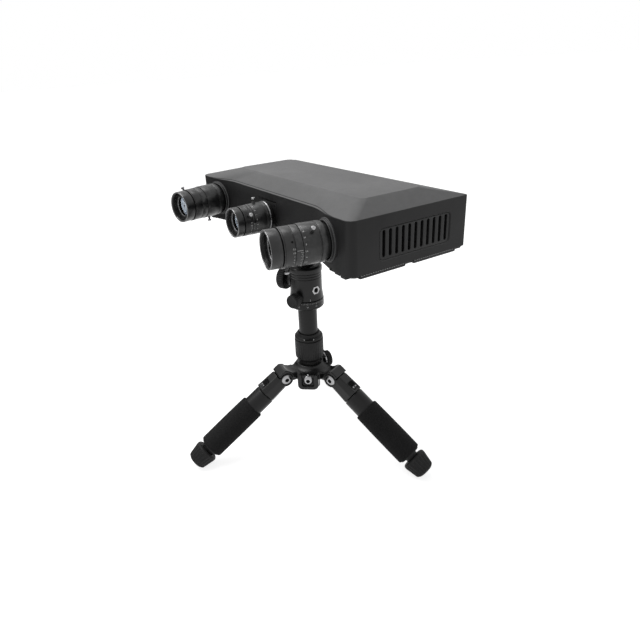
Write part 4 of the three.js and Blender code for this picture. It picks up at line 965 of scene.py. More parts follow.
def cover_outside():
    """Rings of the cover's outer skin: walls, brow, eased rim, slopes and crown."""
    side, rim, brow, foot = BAR["side"], BAR["rim"], BAR["brow"], BAR["foot"]
    rings = [wall_outline(0, 0, 0, foot), wall_outline(foot, 0), wall_outline(side - brow, 0)]
    steep = BAR["brow_setback"] * BROW_SHARE
    for share in shares(8):
        rings.append(wall_outline(side - brow + (brow - rim) * share, 0, steep * share ** BROW_POWER))
    for share in shares(5):
        turn = math.pi / 2 * share
        setback = steep + (BAR["brow_setback"] - steep) * math.sin(turn)
        rings.append(wall_outline(side - rim + rim * math.sin(turn), 0, setback, rim * (1 - math.cos(turn))))
    edge = crown_outline(BAR["crown"] - BAR["crown_drop"], 0)
    flat = crown_outline(BAR["crown"], BAR["crown_ease"])
    slope_top = between(rings[-1], edge, 0.9)
    rings += [between(rings[-1], edge, 0.5), slope_top]
    for share in shares(5):
        first = between(slope_top, edge, share)
        rings.append(between(first, between(edge, flat, share), share))
    return rings


def cover_inside():
    wall = BAR["wall"]
    top = BAR["side"] - wall
    return [
        wall_outline(-1, wall),
        wall_outline(top - BAR["brow"], wall),
        wall_outline(top - BAR["rim"], wall, BAR["brow_setback"]),
        crown_outline(BAR["crown"] - wall, wall + BAR["crown_drop"]),
    ]


def ring_mesh(rings):
    mesh = bmesh.new()
    skin(mesh, [[mesh.verts.new(point) for point in ring] for ring in rings])
    return mesh


def on_end(side):
    """Turns a plate drawn in XY to face out of an end of the bar."""
    turn = Matrix(((0, 0, 1, 0), (1, 0, 0, 0), (0, 1, 0, 0), (0, 0, 0, 1)))
    if side < 0:
        turn = Matrix.Rotation(math.pi, 4, "Z") @ turn
    return turn


def facing_back(x, y, z):
    """A place on the bar for a drawing whose Z runs to the rear."""
    return mm_matrix(x, y, z) @ Matrix.Rotation(-math.pi / 2, 4, "X")


def end_cutter(side):
    """Opens an end wall for its vent, with a chamfer round the outside."""
    at = mm_matrix(side * BAR["length"] / 2, VENT["middle"], VENT["lift"]) @ on_end(side)
    deep, chamfer = VENT["cut"], VENT["chamfer"]
    rings = []
    for height, grow in ((-deep, 0), (-chamfer, 0), (0, chamfer), (deep, chamfer + deep)):
        size = (CLEARANCE + grow) * 2
        loop = outline_of(VENT["length"] + size, VENT["height"] + size, VENT["corner"] + CLEARANCE + grow)
        rings.append([at @ Vector((x, y, height)) for x, y in loop])
    return ring_mesh(rings)


def block_cutter(size, corner, at):
    return drawn(soft_block, *size, corner, 0.01, at)


def bore_cutter(name):
    local = bar_pose().inverted() @ lens_pose(name)
    local.translation = local.translation / MM
    bore, (low, high) = BEZEL["bore"], BEZEL["cut"]
    return drawn(lathe, disc(bore, low, high), 64, None, local)


def build_cover(settings):
    material = moulded_black(settings)
    rear = (REAR["length"] + CLEARANCE * 2, REAR["height"] + CLEARANCE * 2, REAR["cut"])
    cutters = [
        ring_mesh(cover_inside()),
        end_cutter(1),
        end_cutter(-1),
        block_cutter(HATCH["cut"], HATCH["cut_corner"], facing_back(0, HATCH["cut_from"], HATCH["lift"])),
        block_cutter(rear, REAR["corner"], facing_back(0, BAR["depth"] - REAR["cut"] / 2, REAR["lift"])),
        bore_cutter("right_camera"),
        bore_cutter("left_camera"),
    ]
    shell = carved(ring_mesh(cover_outside()), cutters)
    cover = piece(
        "moulded_cover", shell, material, "scanner", bar_pose(), ("top_cover",), crease=COVER_CREASE)
    weighted = cover.modifiers.new("flat faces stay flat", "WEIGHTED_NORMAL")
    weighted.keep_sharp = True
    bore, inner, outer, root = (BEZEL[key] for key in ("bore", "inner", "outer", "root"))
    high, low = BEZEL["inner_face"], BEZEL["outer_face"]
    section = eased([
        (bore, root), (outer, root), (outer, low), (inner, low), (inner, high), (bore, high),
        (bore, root + 0.1),
    ], 0.5)
    for name in ("right_camera", "left_camera"):
        turned(f"{name}_bezel", section, material, "scanner", lens_pose(name), like="top_cover")


def build_vents(settings):
    material = finished("panel black")
    slots = []
    for index in range(VENT["count"]):
        shift = (index - (VENT["count"] - 1) / 2) * VENT["pitch"]
        loop = outline_of(VENT["slot_width"], VENT["slot_height"], VENT["slot_width"] / 2 - 0.01)
        slots.append([(x + shift, y + VENT["slot_lift"]) for x, y in loop])
    outline = outline_of(VENT["length"], VENT["height"], VENT["corner"])
    middle = BAR["length"] / 2 - VENT["setback"] - VENT["thickness"] / 2
    for name, side in (("right", 1), ("left", -1)):
        at = mm_matrix(side * middle, VENT["middle"], VENT["lift"]) @ on_end(side)
        mesh = drawn(add_pierced, outline, slots, VENT["thickness"], VENT["ease"], at)
        piece(f"{name}_slotted_vent", mesh, material, "scanner", bar_pose(), (f"{name}_vent_grille",))
    for node, bevel in (("rear_panel", 0.3), ("fan_frame", 0), ("fan_rotor", 0), ("base_plate", 0.3)):
        dress(node, material, bevel)
    build_base_strips(material)
    dress("power_switch", finished("switch gloss"), 0.6, 3)
    dress("control_board", finished("solder mask"))
    for node in ("right_camera_body", "left_camera_body"):
        dress(node, finished("machined dark alloy"), 0.4)
    build_engine(moulded_black(settings))


def build_engine(material):
    """The projector's engine with the hatch that closes the cover round its lens."""
    front = BAR["setback"] - HATCH["rise"]
    back = (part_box("projector_module")[1].y - wing_place.y) / MM
    width, height, _ = (size - HATCH["gap"] * 2 for size in HATCH["cut"])
    plate = facing_back(0, front, HATCH["lift"] - HATCH["slot"] / 2)
    mesh = drawn(soft_block, width, height - HATCH["slot"], BAR["wall"] + 3, 0.5, 0.3, plate)
    engine_front = front + BAR["wall"] + 2
    at = facing_back(0, engine_front, HATCH["lift"])
    soft_block(mesh, *HATCH["engine"], back - engine_front, 1.5, 0.6, at)
    piece("projector_engine", mesh, material, "scanner", bar_pose(), ("projector_module",))
    heads = bmesh.new()
    across, lift = HATCH["screw"]
    for side in (-1, 1):
        at = facing_back(side * across, front + 0.4, lift)
        lathe(heads, disc(*HATCH["screw_head"]), 20, None, at)
    # A light-trap black bar along the hatch's slot: painted shade of the gap.
    across, lift = HATCH["line"]
    soft_block(heads, *HATCH["shade_bar_size"], 0.8, 0.05, facing_back(across, front - 0.15, lift))
    trap_and_shade_black = finished("light trap and painted shade black")
    piece("hatch_screws_and_slot_shade", heads, trap_and_shade_black, "scanner", bar_pose(), like="projector_module")


def build_base_strips(material):
    """Strips of the base that show below the cover, and the stitched seam over them."""
    strips, seam = bmesh.new(), bmesh.new()
    edge, lap = BAR["length"] / 2, STRIP["lap"]
    for side in (-1, 1):
        for low, high in STRIP["spans"]:
            middle = edge - STRIP["inset"] - STRIP["width"] / 2
            at = mm_matrix(side * middle, (low + high) / 2, -STRIP["height"])
            soft_block(strips, STRIP["width"], high - low, STRIP["height"] + lap, 0.4, 0.25, at)
            for index in range(int((high - low) / SEAM["pitch"])):
                place = low + (index + 0.5) * SEAM["pitch"]
                at = mm_matrix(side * (edge - SEAM["inset"]), place, -SEAM["drop"])
                soft_block(seam, *SEAM["dot"], 0.1, 0.05, at)
        for place, height in STEPS:
            at = mm_matrix(side * place, STEP["middle"], -height)
            soft_block(strips, *STEP["size"], height + lap, 0.4, 0.2, at)
    piece("base_strips", strips, material, "scanner", bar_pose(), like="base_plate")
    piece("base_seam_dots", seam, finished("bright steel"), "scanner", bar_pose(), like="base_plate")


# Builders of the lenses.
def ring_profile(inner, outer, back, front, lines=()):
    """A ring's section with eased edges and fine grooves at given heights."""
    outside = [(outer, back)]
    floor, wide, narrow = outer - LINE["depth"], LINE["mouth"], LINE["floor"]
    groove = ((outer, -wide), (floor, -narrow), (floor, narrow), (outer, wide))
    for line in sorted(lines):
        outside += [(radius, line + along) for radius, along in groove]
    outside.append((outer, front))
    return eased([(inner, back), *outside, (inner, front), (inner, back + 0.1)], 0.25, 2)


def round_edge(radius, height, size, steps=8):
    """The section of a ring that is round all about."""
    turns = [step / steps * math.tau for step in range(steps)]
    return [(radius + size * math.cos(turn), height + size * math.sin(turn)) for turn in turns]


def build_lens(name, lens, steps, glass):
    """Barrel, rings, bands, glass and scales of one lens, front rim outward along Z."""
    metal, trap_and_shade_black, steel = (finished(key) for key in ("anodised black", "light trap and painted shade black", "bright steel"))
    pose, reach, barrel = lens_pose(name), lens["reach"], f"{name}_lens_barrel"
    tube, rim, mouth, throat = lens["tube"], lens["rim"], lens["mouth"], lens["throat"]
    groove, mouth_depth, throat_depth = rim - lens["groove_depth"], lens["mouth_depth"], lens["throat_depth"]

    def from_rim(*points):
        """A section whose heights count back from the front rim."""
        return [(radius, reach - back) for radius, back in points]

    def fixed(label, profile, material, **options):
        options = options or {"like": barrel}
        turned(f"{name}_{label}", profile, material, "scanner", pose, steps, **options)

    def band(inner, place, lines=()):
        front, back, outer = place
        return ring_profile(inner, outer, reach - back, reach - front, [reach - line for line in lines])

    threads = []
    for turn in range(THREAD["count"]):
        back = mouth_depth - THREAD["first"] - turn * THREAD["pitch"]
        threads += [(mouth, back), (mouth + 0.25, back - 0.15), (mouth, back - 0.3)]
    fixed("front_tube", eased(from_rim(
        (throat, throat_depth), (throat, mouth_depth), (mouth, mouth_depth), *threads, (mouth + 0.3, 0),
        (rim - 0.4, 0), (rim, 0.5), (rim, lens["front"]), (groove, lens["front"]), (groove, lens["groove"]),
        (tube, lens["groove"]), (tube, lens["collar"][0]), (tube - 2, lens["collar"][0]),
        (tube - 2, throat_depth), (throat, throat_depth + 0.05),
    ), 0.22, 2), metal, stands_for=(barrel,))
    # Painted highlight: bright steel beads on the rim's outer and inner edges stand in for the light lines
    # that these edges catch.
    edge = bmesh.new()
    for radius in (rim - RIM_HIGHLIGHT_BEAD["inset"], mouth + RIM_HIGHLIGHT_BEAD["inset"]):
        lathe(edge, round_edge(radius, reach - RIM_HIGHLIGHT_BEAD["drop"], RIM_HIGHLIGHT_BEAD["size"]), steps)
    piece(f"{name}_rim_highlight_beads", edge, steel, "scanner", pose, like=barrel)
    front, back, radius = lens["rear"]
    _, tail, collar = lens["collar"]
    fixed("rear_barrel", eased(from_rim(
        (tube, front), (radius, front), (radius, back), (collar, back), (collar, tail),
        (tube - 3, tail), (tube - 3, back), (tube, back), (tube, front + 0.1),
    ), 0.3, 2), metal)
    if "mount_ring" in lens:
        fixed("mount_ring", band(collar, lens["mount_ring"]), steel)
    fixed("index_band", band(tube, lens["band"]), metal)
    build_mouth(name, lens, glass, from_rim, fixed)
    for ring in ("focus", "iris"):
        node = f"{name}_{ring}_ring"
        mesh = drawn(lathe, band(tube + CLEARANCE, lens[ring], lens[f"{ring}_lines"]), steps)
        at = on_ring(lens[ring][2] - 0.6, reach - lens[f"{ring}_screw"], SCREW_ANGLES[name][ring])
        boss = lens["screw_boss"]
        collar = [(0, 0), (boss, 0), (boss, 1.6), (1.2, 1.6), (1.2, 1.0), (0, 1.0)]
        lathe(mesh, eased(collar, 0.2, 2), 24, None, at)
        piece(f"{name}_{ring}_grip", mesh, metal, node, pose, (node,))
        build_thumb_screw(f"{name}_{ring}_screw", metal, steel)
    build_scales(name, lens, trap_and_shade_black, pose)


def build_mouth(name, lens, glass, from_rim, fixed):
    """Retaining ring, baffle, glass and the dark well behind it."""
    throat, edge, depth = lens["throat"], lens["glass"], lens["glass_depth"]
    floor, inner_depth = depth + 11, depth + 3.6
    steps = [0, *shares(8)]
    fixed("retaining_ring", eased(from_rim(
        (edge - 0.6, depth), (edge - 0.6, depth - 1.2), (edge + 0.4, depth - 2.2),
        (throat - 0.1, depth - 2.4), (throat - 0.1, depth), (edge - 0.5, depth),
    ), 0.15, 2), finished("anodised black"))
    fixed("light_well", from_rim(
        (0, floor), (edge * 0.45, floor), (edge * 0.5, floor - 1), (edge * 0.92, depth + 6.4),
        (edge * 0.93, depth + 2), (edge + 0.4, depth + 1.6), (edge + 0.4, depth), (throat, depth),
        (throat, depth + 0.5), (edge + 1, depth + 2.4), (edge, depth + 7), (edge * 0.6, floor + 1),
        (0, floor + 1),
    ), finished("light trap and painted shade black"))
    back = [(edge * share, depth + 3.4 - 0.8 * share ** 2) for share in steps]
    front = [(edge * (1 - share), depth + lens["crown"] * (1 - share) ** 2) for share in steps]
    node = f"{name}_front_glass"
    fixed("front_element", from_rim(*back, *front), glass, stands_for=(node,))
    lip = round_edge(edge - LIP["inset"], lens["reach"] - depth + LIP["rise"], LIP["size"])
    fixed("glass_lip", lip, finished("bright steel"))
    small = edge * 0.9
    back = [(small * share, inner_depth + 2.4 - 1.4 * share ** 2) for share in steps]
    front = [(small * (1 - share), inner_depth - 0.6 * share) for share in steps]
    fixed("inner_element", from_rim(*back, *front), finished("mirror coating"), like=node)


def build_thumb_screw(node, metal, steel):
    """A knurled head on a thin stem, standing out of its ring."""
    pose = joint_pose(f"{node}_turn", Vector((0, -1, 0)))
    head = eased([
        (0, 4.3), (1.9, 4.3), (2.3, 4.6), (2.3, 6.1), (1.9, 6.5), (0.4, 6.5), (0.4, 6.1), (0, 6.1),
    ], 0.2, 2)
    turned(f"{node}_head", head, steel, node, pose, 48, ribs(16, 0.16, 4.5, 6.2, 1), stands_for=(node,))
    stem = [(0, 1.2), (1.5, 1.2), (1.5, 2.4), (1.15, 2.7), (1.15, 4.4), (0, 4.4)]
    turned(f"{node}_stem", stem, metal, node, pose, 24, like=node)


def build_scales(name, lens, dark, pose):
    """Index line, generic numbers and small set screws on one lens."""
    ink, reach, turn = finished("scale ink"), lens["reach"], SCALE_ANGLE[name]
    size = MARK_SIZE * (SMALL_MARKS if lens is PROJECTOR_LENS else 1)
    scales = (
        ("focus", FOCUS_MARKS, lens["focus"][1] - size * 0.75, 6, FOCUS_STEP),
        ("iris", IRIS_MARKS, lens["iris"][0] + size * 0.95, 68, IRIS_STEP),
    )
    for ring, marks, place, start, step in scales:
        mesh, node = bmesh.new(), f"{name}_{ring}_ring"
        for index, text in enumerate(marks):
            at = on_ring(lens[ring][2] + INK_HEIGHT * 0.5, reach - place, turn + start - index * step, -UP)
            add_text(mesh, text, size, at)
        piece(f"{name}_{ring}_scale", mesh, ink, node, pose, like=node)
    band = bmesh.new()
    front, back, radius = lens["band"]
    length, radius = back - front, radius + INK_HEIGHT * 0.5
    line = on_ring(radius, reach - (front + back) / 2, turn, -UP)
    soft_block(band, length * TICK["line"], 0.35, TICK["rise"], 0.1, 0.01, line)
    for index in range(1, TICK["count"] + 1):
        tick = on_ring(radius, reach - (back - length * 0.22), turn - index * TICK["step"], -UP)
        share = TICK["odd"] if index % 2 else TICK["even"]
        soft_block(band, length * share, TICK["width"], TICK["rise"], 0.08, 0.01, tick)
    piece(f"{name}_index_marks", band, ink, "scanner", pose, like=f"{name}_lens_barrel")
    _, back, radius = lens["focus"]
    at = on_ring(radius - 0.6, reach - (back - 2.7), turn + 26)
    hole = drawn(lathe, disc(*SET_SCREW), 16, None, at)
    node = f"{name}_focus_ring"
    piece(f"{name}_focus_set_screw", hole, dark, node, pose, like=node)


# Builders of the head and the stand.
def down(*points):
    """A section of the stand whose heights count down from the cover's rim."""
    return [(radius, -drop) for radius, drop in points]


def build_head(paint, tube, steel, ink, trap_and_shade_black):
    pose = stand_pose()
    dress("mounting_plate", tube, 0.35)
    dress("clamp_platform", paint, 0.5)
    radius, stem, flange = BALL["radius"], BALL["stem"], BALL["flange"]
    start = math.asin(stem / radius)
    arc = [(0, -BALL["drop"] - radius)]
    for share in shares(28):
        angle = math.pi - (math.pi - start) * share
        arc.append((radius * math.sin(angle), radius * math.cos(angle) - BALL["drop"]))
    top, root = BALL["flange_top"], BALL["flange_top"] + BALL["flange_thickness"]
    neck = down((stem, BALL["drop"] - radius), (stem, root + 2), (flange, root), (flange, top), (0, top))
    turned("ball_and_stem", arc + eased(neck, 0.6), tube, "ball_stem", pose, stands_for=("ball",))
    turned("head_housing", head_section(), paint, "head", pose, 96, stands_for=("head_body",))
    outer, hole = HEAD["insert_radius"], HEAD["insert_hole"]
    at = azimuth_pose(HEAD["insert_azimuth"], HEAD["insert_drop"])
    at = at @ Matrix.Translation((0, 0, (HEAD["radius"] - 0.2) * MM))
    insert = [
        (hole, -1), (hole, 0.5), (hole + 0.3, 0.8), (outer - 0.5, 0.8), (outer, 0.4), (outer, -1),
        (hole, -1.05),
    ]
    shape = hexagonal(outer + 1, hole + 0.5)
    turned("head_hex_insert", insert, steel, "head", at, 48, shape, like="head_body")
    # A black disc in the insert's hole: painted shade.
    turned("head_insert_hole_shade", disc(hole + 0.02, 0, 0.3), trap_and_shade_black, "head", at, 32, like="head_body")
    radius, edge, top, bottom = (PAN_BASE[key] for key in ("radius", "edge", "top", "bottom"))
    base = down(
        (0, bottom), (radius - edge, bottom), (radius, bottom - edge), (radius, top + 0.7),
        (radius - 0.7, top), (0, top),
    )
    turned("pan_base_disc", eased(base, 0.4), tube, "column", pose, 96, stands_for=("pan_base",))
    build_degree_scale(ink)


def head_section():
    """The head's section, from the socket's floor over the brim and down to the base."""
    radius, brim, foot, mouth = (HEAD[key] for key in ("radius", "brim", "foot", "mouth"))
    top, bottom, floor, lip = HEAD["top"], HEAD["bottom"], radius - HEAD["groove_depth"], HEAD["groove_lip"]
    outline = [(mouth, top + 3), (mouth, top), (brim - 2.2, top), (brim, top + 2.2)]
    for index, groove in enumerate(HEAD["grooves"]):
        above, end = radius if index else brim, groove + HEAD["groove_width"]
        outline += [(above, groove), (floor, groove + lip), (floor, end - lip), (radius, end)]
    outline += [
        (radius, HEAD["waist_top"]), (HEAD["waist"], bottom - HEAD["flare"]), (foot, bottom - 0.6),
        (foot - 0.5, bottom), (0, bottom),
    ]
    socket = down((0, top + 24), (mouth + 1.5, top + 18), (mouth + 2.2, top + 9))
    return socket + eased(down(*outline), 0.5)


def on_stand(azimuth, radius, drop):
    """A place in millimetres on the stand for upright marks."""
    outward = heading(azimuth)
    return axes_pose(outward * radius + Vector((0, 0, -drop)), outward, -UP)


def build_degree_scale(ink):
    ticks, radius, top = bmesh.new(), PAN_BASE["radius"], PAN_BASE["top"]
    for degrees in range(0, 360, DEGREES["step"]):
        long_tick = degrees % DEGREES["numbered"] == 0
        length = DEGREES["long"] if long_tick else DEGREES["short"]
        at = on_stand(degrees, radius - 0.02, top + DEGREES["drop"] + length / 2)
        soft_block(ticks, length, 0.3, TICK["rise"], 0.08, 0.01, at)
        if long_tick:
            outward = heading(degrees)
            centre = outward * radius + Vector((0, 0, -top - DEGREES["text_drop"]))
            add_text(ticks, str(degrees), DEGREES["text"], upright_pose(centre, outward))
    piece("pan_degree_scale", ticks, ink, "column", stand_pose(), like="pan_base")
    at = on_stand(HEAD["mark_azimuth"], HEAD["foot"] - 0.3, HEAD["bottom"] - 2.2)
    mark = drawn(soft_block, *HEAD["mark"], 0.08, 0.01, at)
    piece("pan_index_mark", mark, ink, "head", stand_pose(), like="head_body")


def build_knob(name, knob, rubber, paint, steel):
    """Ribbed grip with a dished face, its shaft and the boss that it turns in."""
    pose = joint_pose(knob["joint"])
    back, reach, radius = knob["reach"] - knob["thickness"], knob["reach"], knob["radius"]
    shaft = knob["shaft"]
    grip = eased([
        (0, back), (radius - 1.4, back), (radius, back + 1.6), (radius, reach - 1.6), (radius - 1.4, reach),
        (radius * 0.72, reach), (radius * 0.68, reach - 0.5), (0, reach - 0.5),
    ], 0.7)
    shape = ribs(knob["ribs"], knob["rib_depth"], back + 0.9, reach - 0.9)
    steps = 240 if knob["ribs"] > 24 else 192
    turned(f"{name}_grip", grip, rubber, name, pose, steps, shape, stands_for=(name,))
    section = disc(shaft, knob["shaft_end"], back + 2)
    turned(f"{name}_shaft", section, steel, name, pose, 32, like=name)
    if "washer" in knob:
        section = disc(knob["washer"], back - WASHER_THICKNESS, back)
        turned(f"{name}_washer", section, steel, name, pose, 48, like=name)
    if "boss" in knob:
        boss, low, high = knob["boss"], knob["boss_from"], knob["boss_reach"]
        section = eased([
            (0, low), (boss, low), (boss, high), (shaft + 0.4, high), (shaft + 0.4, high - 1), (0, high - 1),
        ], 0.5)
        turned(f"{name}_boss", section, paint, knob["carrier"], pose, like="head_body")


def build_column(tube, rubber, ink, trap_and_shade_black):
    pose = stand_pose()
    radius, top, bottom = COLUMN["radius"], COLUMN["top"], COLUMN["bottom"]
    column = down((0, bottom), (radius - 1.2, bottom), (radius, bottom - 1.2), (radius, top), (0, top))
    turned("sliding_column", eased(column, 0.3), tube, "column", pose, 72, stands_for=("center_column",))
    body, ring, bore, tail = (COLLAR[key] for key in ("body", "ring", "bore", "tail"))
    seam, top, bottom, taper = (COLLAR[key] for key in ("ring_bottom", "top", "bottom", "taper"))
    shoulder, shoulder_drop = COLLAR["shoulder"], (COLLAR["ring_top"] + top) / 2 + 0.6
    profile = down(
        (bore + 1, bottom), (tail, bottom), (tail, COLLAR["tail_top"]), (body, taper), (body, seam + 1.2),
        (body - 1.4, seam + 0.9), (body - 1.9, seam + 0.9), (body - 1.9, seam), (ring, seam),
        (ring, COLLAR["ring_top"]), (shoulder, shoulder_drop), (shoulder - 1, shoulder_drop),
        (COLLAR["lip"], top), (bore, top), (bore, bottom - 0.3),
    )
    shape = ribs(COLLAR["ribs"], COLLAR["rib_depth"], -taper - 8, -seam - 2.2, 2)
    turned(
        "twist_collar", eased(profile, 0.8, 4), rubber, "collar", pose, 288, shape,
        stands_for=("column_lock_collar",))
    at = azimuth_pose(COLLAR["notch_azimuth"], seam - 3.8)
    # A black patch in the collar's window: painted shade of the opening.
    window = drawn(soft_block, *COLLAR["window"], 0.3, 0.05, mm_matrix(0, 0, ring - 0.25))
    piece("collar_window_shade", window, trap_and_shade_black, "collar", at, like="column_lock_collar")
    marks = bmesh.new()
    for side in (-1, 1):
        at_side = mm_matrix(side * COLLAR["mark_place"], 0, ring - 1.1)
        soft_block(marks, *COLLAR["mark"], 0.1, 0.02, at_side)
    piece("collar_marks", marks, ink, "collar", at, like="column_lock_collar")


def build_hub(paint, steel, trap_and_shade_black):
    """The hub with saddled arms, a skirt round the collar's tail and a screw in its lug."""
    stand = in_mm(stand_pose())
    hollow = round_edge(HUB["saddle_reach"], -HUB["saddle_drop"], HUB["saddle"], 40)
    rear_lug = in_mm(azimuth_pose(HUB["rear_lug_azimuth"], HUB["lug_drop"]))
    front_pose = azimuth_pose(HUB["front_lug_azimuth"], HUB["lug_drop"])
    front_lug = in_mm(front_pose)
    recess = front_lug @ mm_matrix(0, HUB["recess_rise"], HUB["recess_floor"])
    cutters = [
        drawn(lathe, hollow, 96, None, stand),
        drawn(soft_block, *HUB["lug_cut"], 1, 0.2, rear_lug @ mm_matrix(0, 0, HUB["rear_lug_reach"])),
        drawn(soft_block, *HUB["recess"], 10, 3, 0.2, recess),
    ]
    skirt = drawn(lathe, down(*HUB["skirt"]), 72, None, stand)
    depth = HUB["lug_face"] - HUB["lug_root"]
    plate = drawn(soft_block, *HUB["lug"], depth, 6, 0.8, front_lug @ mm_matrix(0, 0, HUB["lug_root"]))
    cast_form("hub_casting", "hub", paint, "stand", cutters, [skirt, plate])
    seat = HUB["recess_floor"] - 0.2
    screw = drawn(button_screw, HUB["screw"], 3.2, seat)
    at = mm_matrix(0, HUB["dot_rise"], seat)
    lathe(screw, eased(disc(HUB["dot"], 0, 1), 0.4), 20, None, at)
    piece("lug_screw", screw, steel, "stand", front_pose, like="front_pivot_screw")
    # A black disc deep in the screw's socket: painted shade.
    socket = disc(2.5, seat + 1.4, seat + 1.9)
    turned("lug_screw_socket_shade", socket, trap_and_shade_black, "stand", front_pose, 24, like="front_pivot_screw")


def button_screw(mesh, radius, height, seat):
    """A domed screw head with a hexagonal socket."""
    socket = radius * 0.42
    dome = eased([
        (socket + 0.15, seat + height), (radius * 0.62, seat + height * 0.94),
        (radius * 0.95, seat + height * 0.45), (radius, seat + height * 0.2), (radius, seat), (0.1, seat),
    ], 0.5)
    lathe(mesh, [
        (0, seat + height * 0.25), (socket, seat + height * 0.25), (socket, seat + height * 0.92),
        *dome, (0, seat),
    ], 48, hexagonal(socket + 0.05))


def both_sides(draw, *args):
    """One drawing at both ends of a leg's hinge, made along Z."""
    pair = bmesh.new()
    for side in (-1, 1):
        made = drawn(draw, *args)
        made.transform(Matrix.Rotation(-side * math.pi / 2, 4, "X"))
        merge(pair, made)
    return pair


def build_leg(name, paint, tube, foam, rubber, steel, trap_and_shade_black):
    pose, body = leg_pose(name), f"{name}_leg"
    tab, pivot, casting = f"{name}_stop_tab", f"{name}_pivot_screw", f"{name}_leg_casting"
    cast_form(f"{name}_leg_knuckle", casting, paint, body, swell=pose)
    at, rise = LEG["window_at"], LEG["window_rise"]
    # A black patch in the stop window: painted shade of its opening.
    window = drawn(soft_block, *LEG["window"], 0.5, 0.5, 0.1, mm_matrix(at, 0, rise))
    piece(f"{name}_stop_window_shade", window, trap_and_shade_black, body, pose, like=tab)
    catch = bmesh.new()
    width, length = LEG["catch"]
    for side in (-1, 1):
        place = mm_matrix(at + length, side * length * 0.45, rise - 0.2)
        soft_block(catch, width, width, 0.7, 0.4, 0.15, place)
    piece(f"{name}_stop_catches", catch, steel, body, pose, like=tab)
    dress(tab, finished("brushed dark metal"), 0.3)
    screw, edge = LEG["screw"], LEG["casting_width"] / 2
    # Black discs deep in the pivot screws' sockets: painted shade.
    socket_shades = both_sides(lathe, disc(*LEG["socket"]), 24)
    piece(f"{name}_pivot_socket_shades", socket_shades, trap_and_shade_black, body, pose, like=pivot)
    heads = both_sides(button_screw, screw, LEG["screw_height"], LEG["screw_seat"])
    piece(f"{name}_pivot_heads", heads, steel, body, pose, (pivot,))
    rings = both_sides(lathe, eased([
        (screw + 0.2, edge - 1.4), (screw + 1.5, edge - 1.4), (screw + 1.5, edge + 0.3),
        (screw + 1.0, edge + 0.8), (screw + 0.2, edge + 0.5), (screw + 0.2, edge - 1.3),
    ], 0.3, 2), 64)
    piece(f"{name}_pivot_rings", rings, paint, body, pose, like=casting)
    build_lower_leg(name, body, pose @ ALONG_X, tube, foam, rubber)


def build_lower_leg(name, body, along, tube, foam, rubber):
    """The tube, the foam grip and the ribbed foot."""
    end, radius, neck, start = (LEG[key] for key in ("casting_end", "tube", "neck", "neck_start"))
    low, high, foot, tip = (LEG[key] for key in ("foot_start", "foot_end", "foot", "foot_tip"))
    shaft = eased([
        (0, end - 12), (LEG["spigot"], end - 12), (LEG["spigot"], end + 0.3), (radius - 0.8, end + 0.3),
        (radius, end + 1.6), (radius, start), (neck, start + 0.4), (neck, low + 8), (0, low + 8),
    ], 0.3)
    turned(f"{name}_tube", shaft, tube, body, along, stands_for=(f"{name}_leg_tube",))
    node = f"{name}_foam_grip"
    sleeve = turned(f"{name}_grip_sleeve", sleeve_section(), foam, body, along, 72, stands_for=(node,))
    section = eased([
        (neck + 0.3, low + 6), (neck + 0.3, low + 0.4), (foot - 1.8, low), (foot, low + 1.8),
        (foot, low + 5), (tip, high - 3.2), (tip * 0.72, high - 0.7), (0, high),
    ], 1.0)
    shape = ribs(LEG["foot_ribs"], LEG["foot_rib_depth"], low + 3.2, high - 3.0, 1.2)
    mesh = drawn(lathe, section, 220, shape)
    piece(f"{name}_ribbed_foot", mesh, rubber, body, along, (f"{name}_rubber_foot",), upright=True)


def sleeve_section():
    """A long sleeve, barely swollen between its rounded ends."""
    start, end, radius, inner = LEG["grip_start"], LEG["grip_end"], LEG["grip"], LEG["tube"] + 0.2
    rounding, swelling, steps, middle = ((2.4, 0), (1.2, 0.4), (0.5, 1.1)), 0.25, 24, []
    for step in range(steps + 1):
        share = step / steps
        swell = swelling * math.sin(math.pi * share) - swelling
        middle.append((radius + swell, start + 2.2 + (end - start - 4.4) * share))
    return [
        (inner, start), *[(radius - inset, start + along) for inset, along in rounding], *middle,
        *[(radius - inset, end - along) for inset, along in reversed(rounding)], (inner, end),
    ]


# Stage.
def flat_sheet(name, corners, finish):
    """A flat sheet that belongs to the stage."""
    mesh = bmesh.new()
    mesh.faces.new([mesh.verts.new(corner) for corner in corners])
    sheet = placed(name, mesh_data(mesh, name))
    sheet.data.materials.append(finish.material)
    return sheet


def build_floor(settings):
    finish = Finish("floor paper", roughness=0.9, specular=0.1)
    finish.colour(settings.floor_colour)
    finish.shader["Emission Color"].default_value = (1, 1, 1, 1)
    seen = seen_directly(finish.wiring)
    finish.feed("Emission Strength", finish.wiring.math("MULTIPLY", seen, settings.floor_glow))
    half = FLOOR_HALF
    flat_sheet("floor", ((-half, -half, 0), (half, -half, 0), (half, half, 0), (-half, half, 0)), finish)


def seen_directly(wiring):
    """One for rays from the camera, reflections and glass, zero for light on surfaces."""
    path = wiring.add("ShaderNodeLightPath").outputs
    seen = wiring.math("MAXIMUM", path["Is Camera Ray"], path["Is Transmission Ray"])
    return wiring.math("MAXIMUM", seen, path["Is Glossy Ray"])


def build_world(settings):
    """White for the camera and in reflections, softer as room light."""
    world = bpy.data.worlds.new("studio")
    bpy.context.scene.world = world
    world.use_nodes = True
    tree = world.node_tree
    wiring = Wiring(tree)
    strength = wiring.remap(seen_directly(wiring), 0.0, 1.0, settings.room, 1.0)
    background = tree.nodes["Background"]
    background.inputs["Color"].default_value = (1, 1, 1, 1)
    tree.links.new(strength, background.inputs["Strength"])


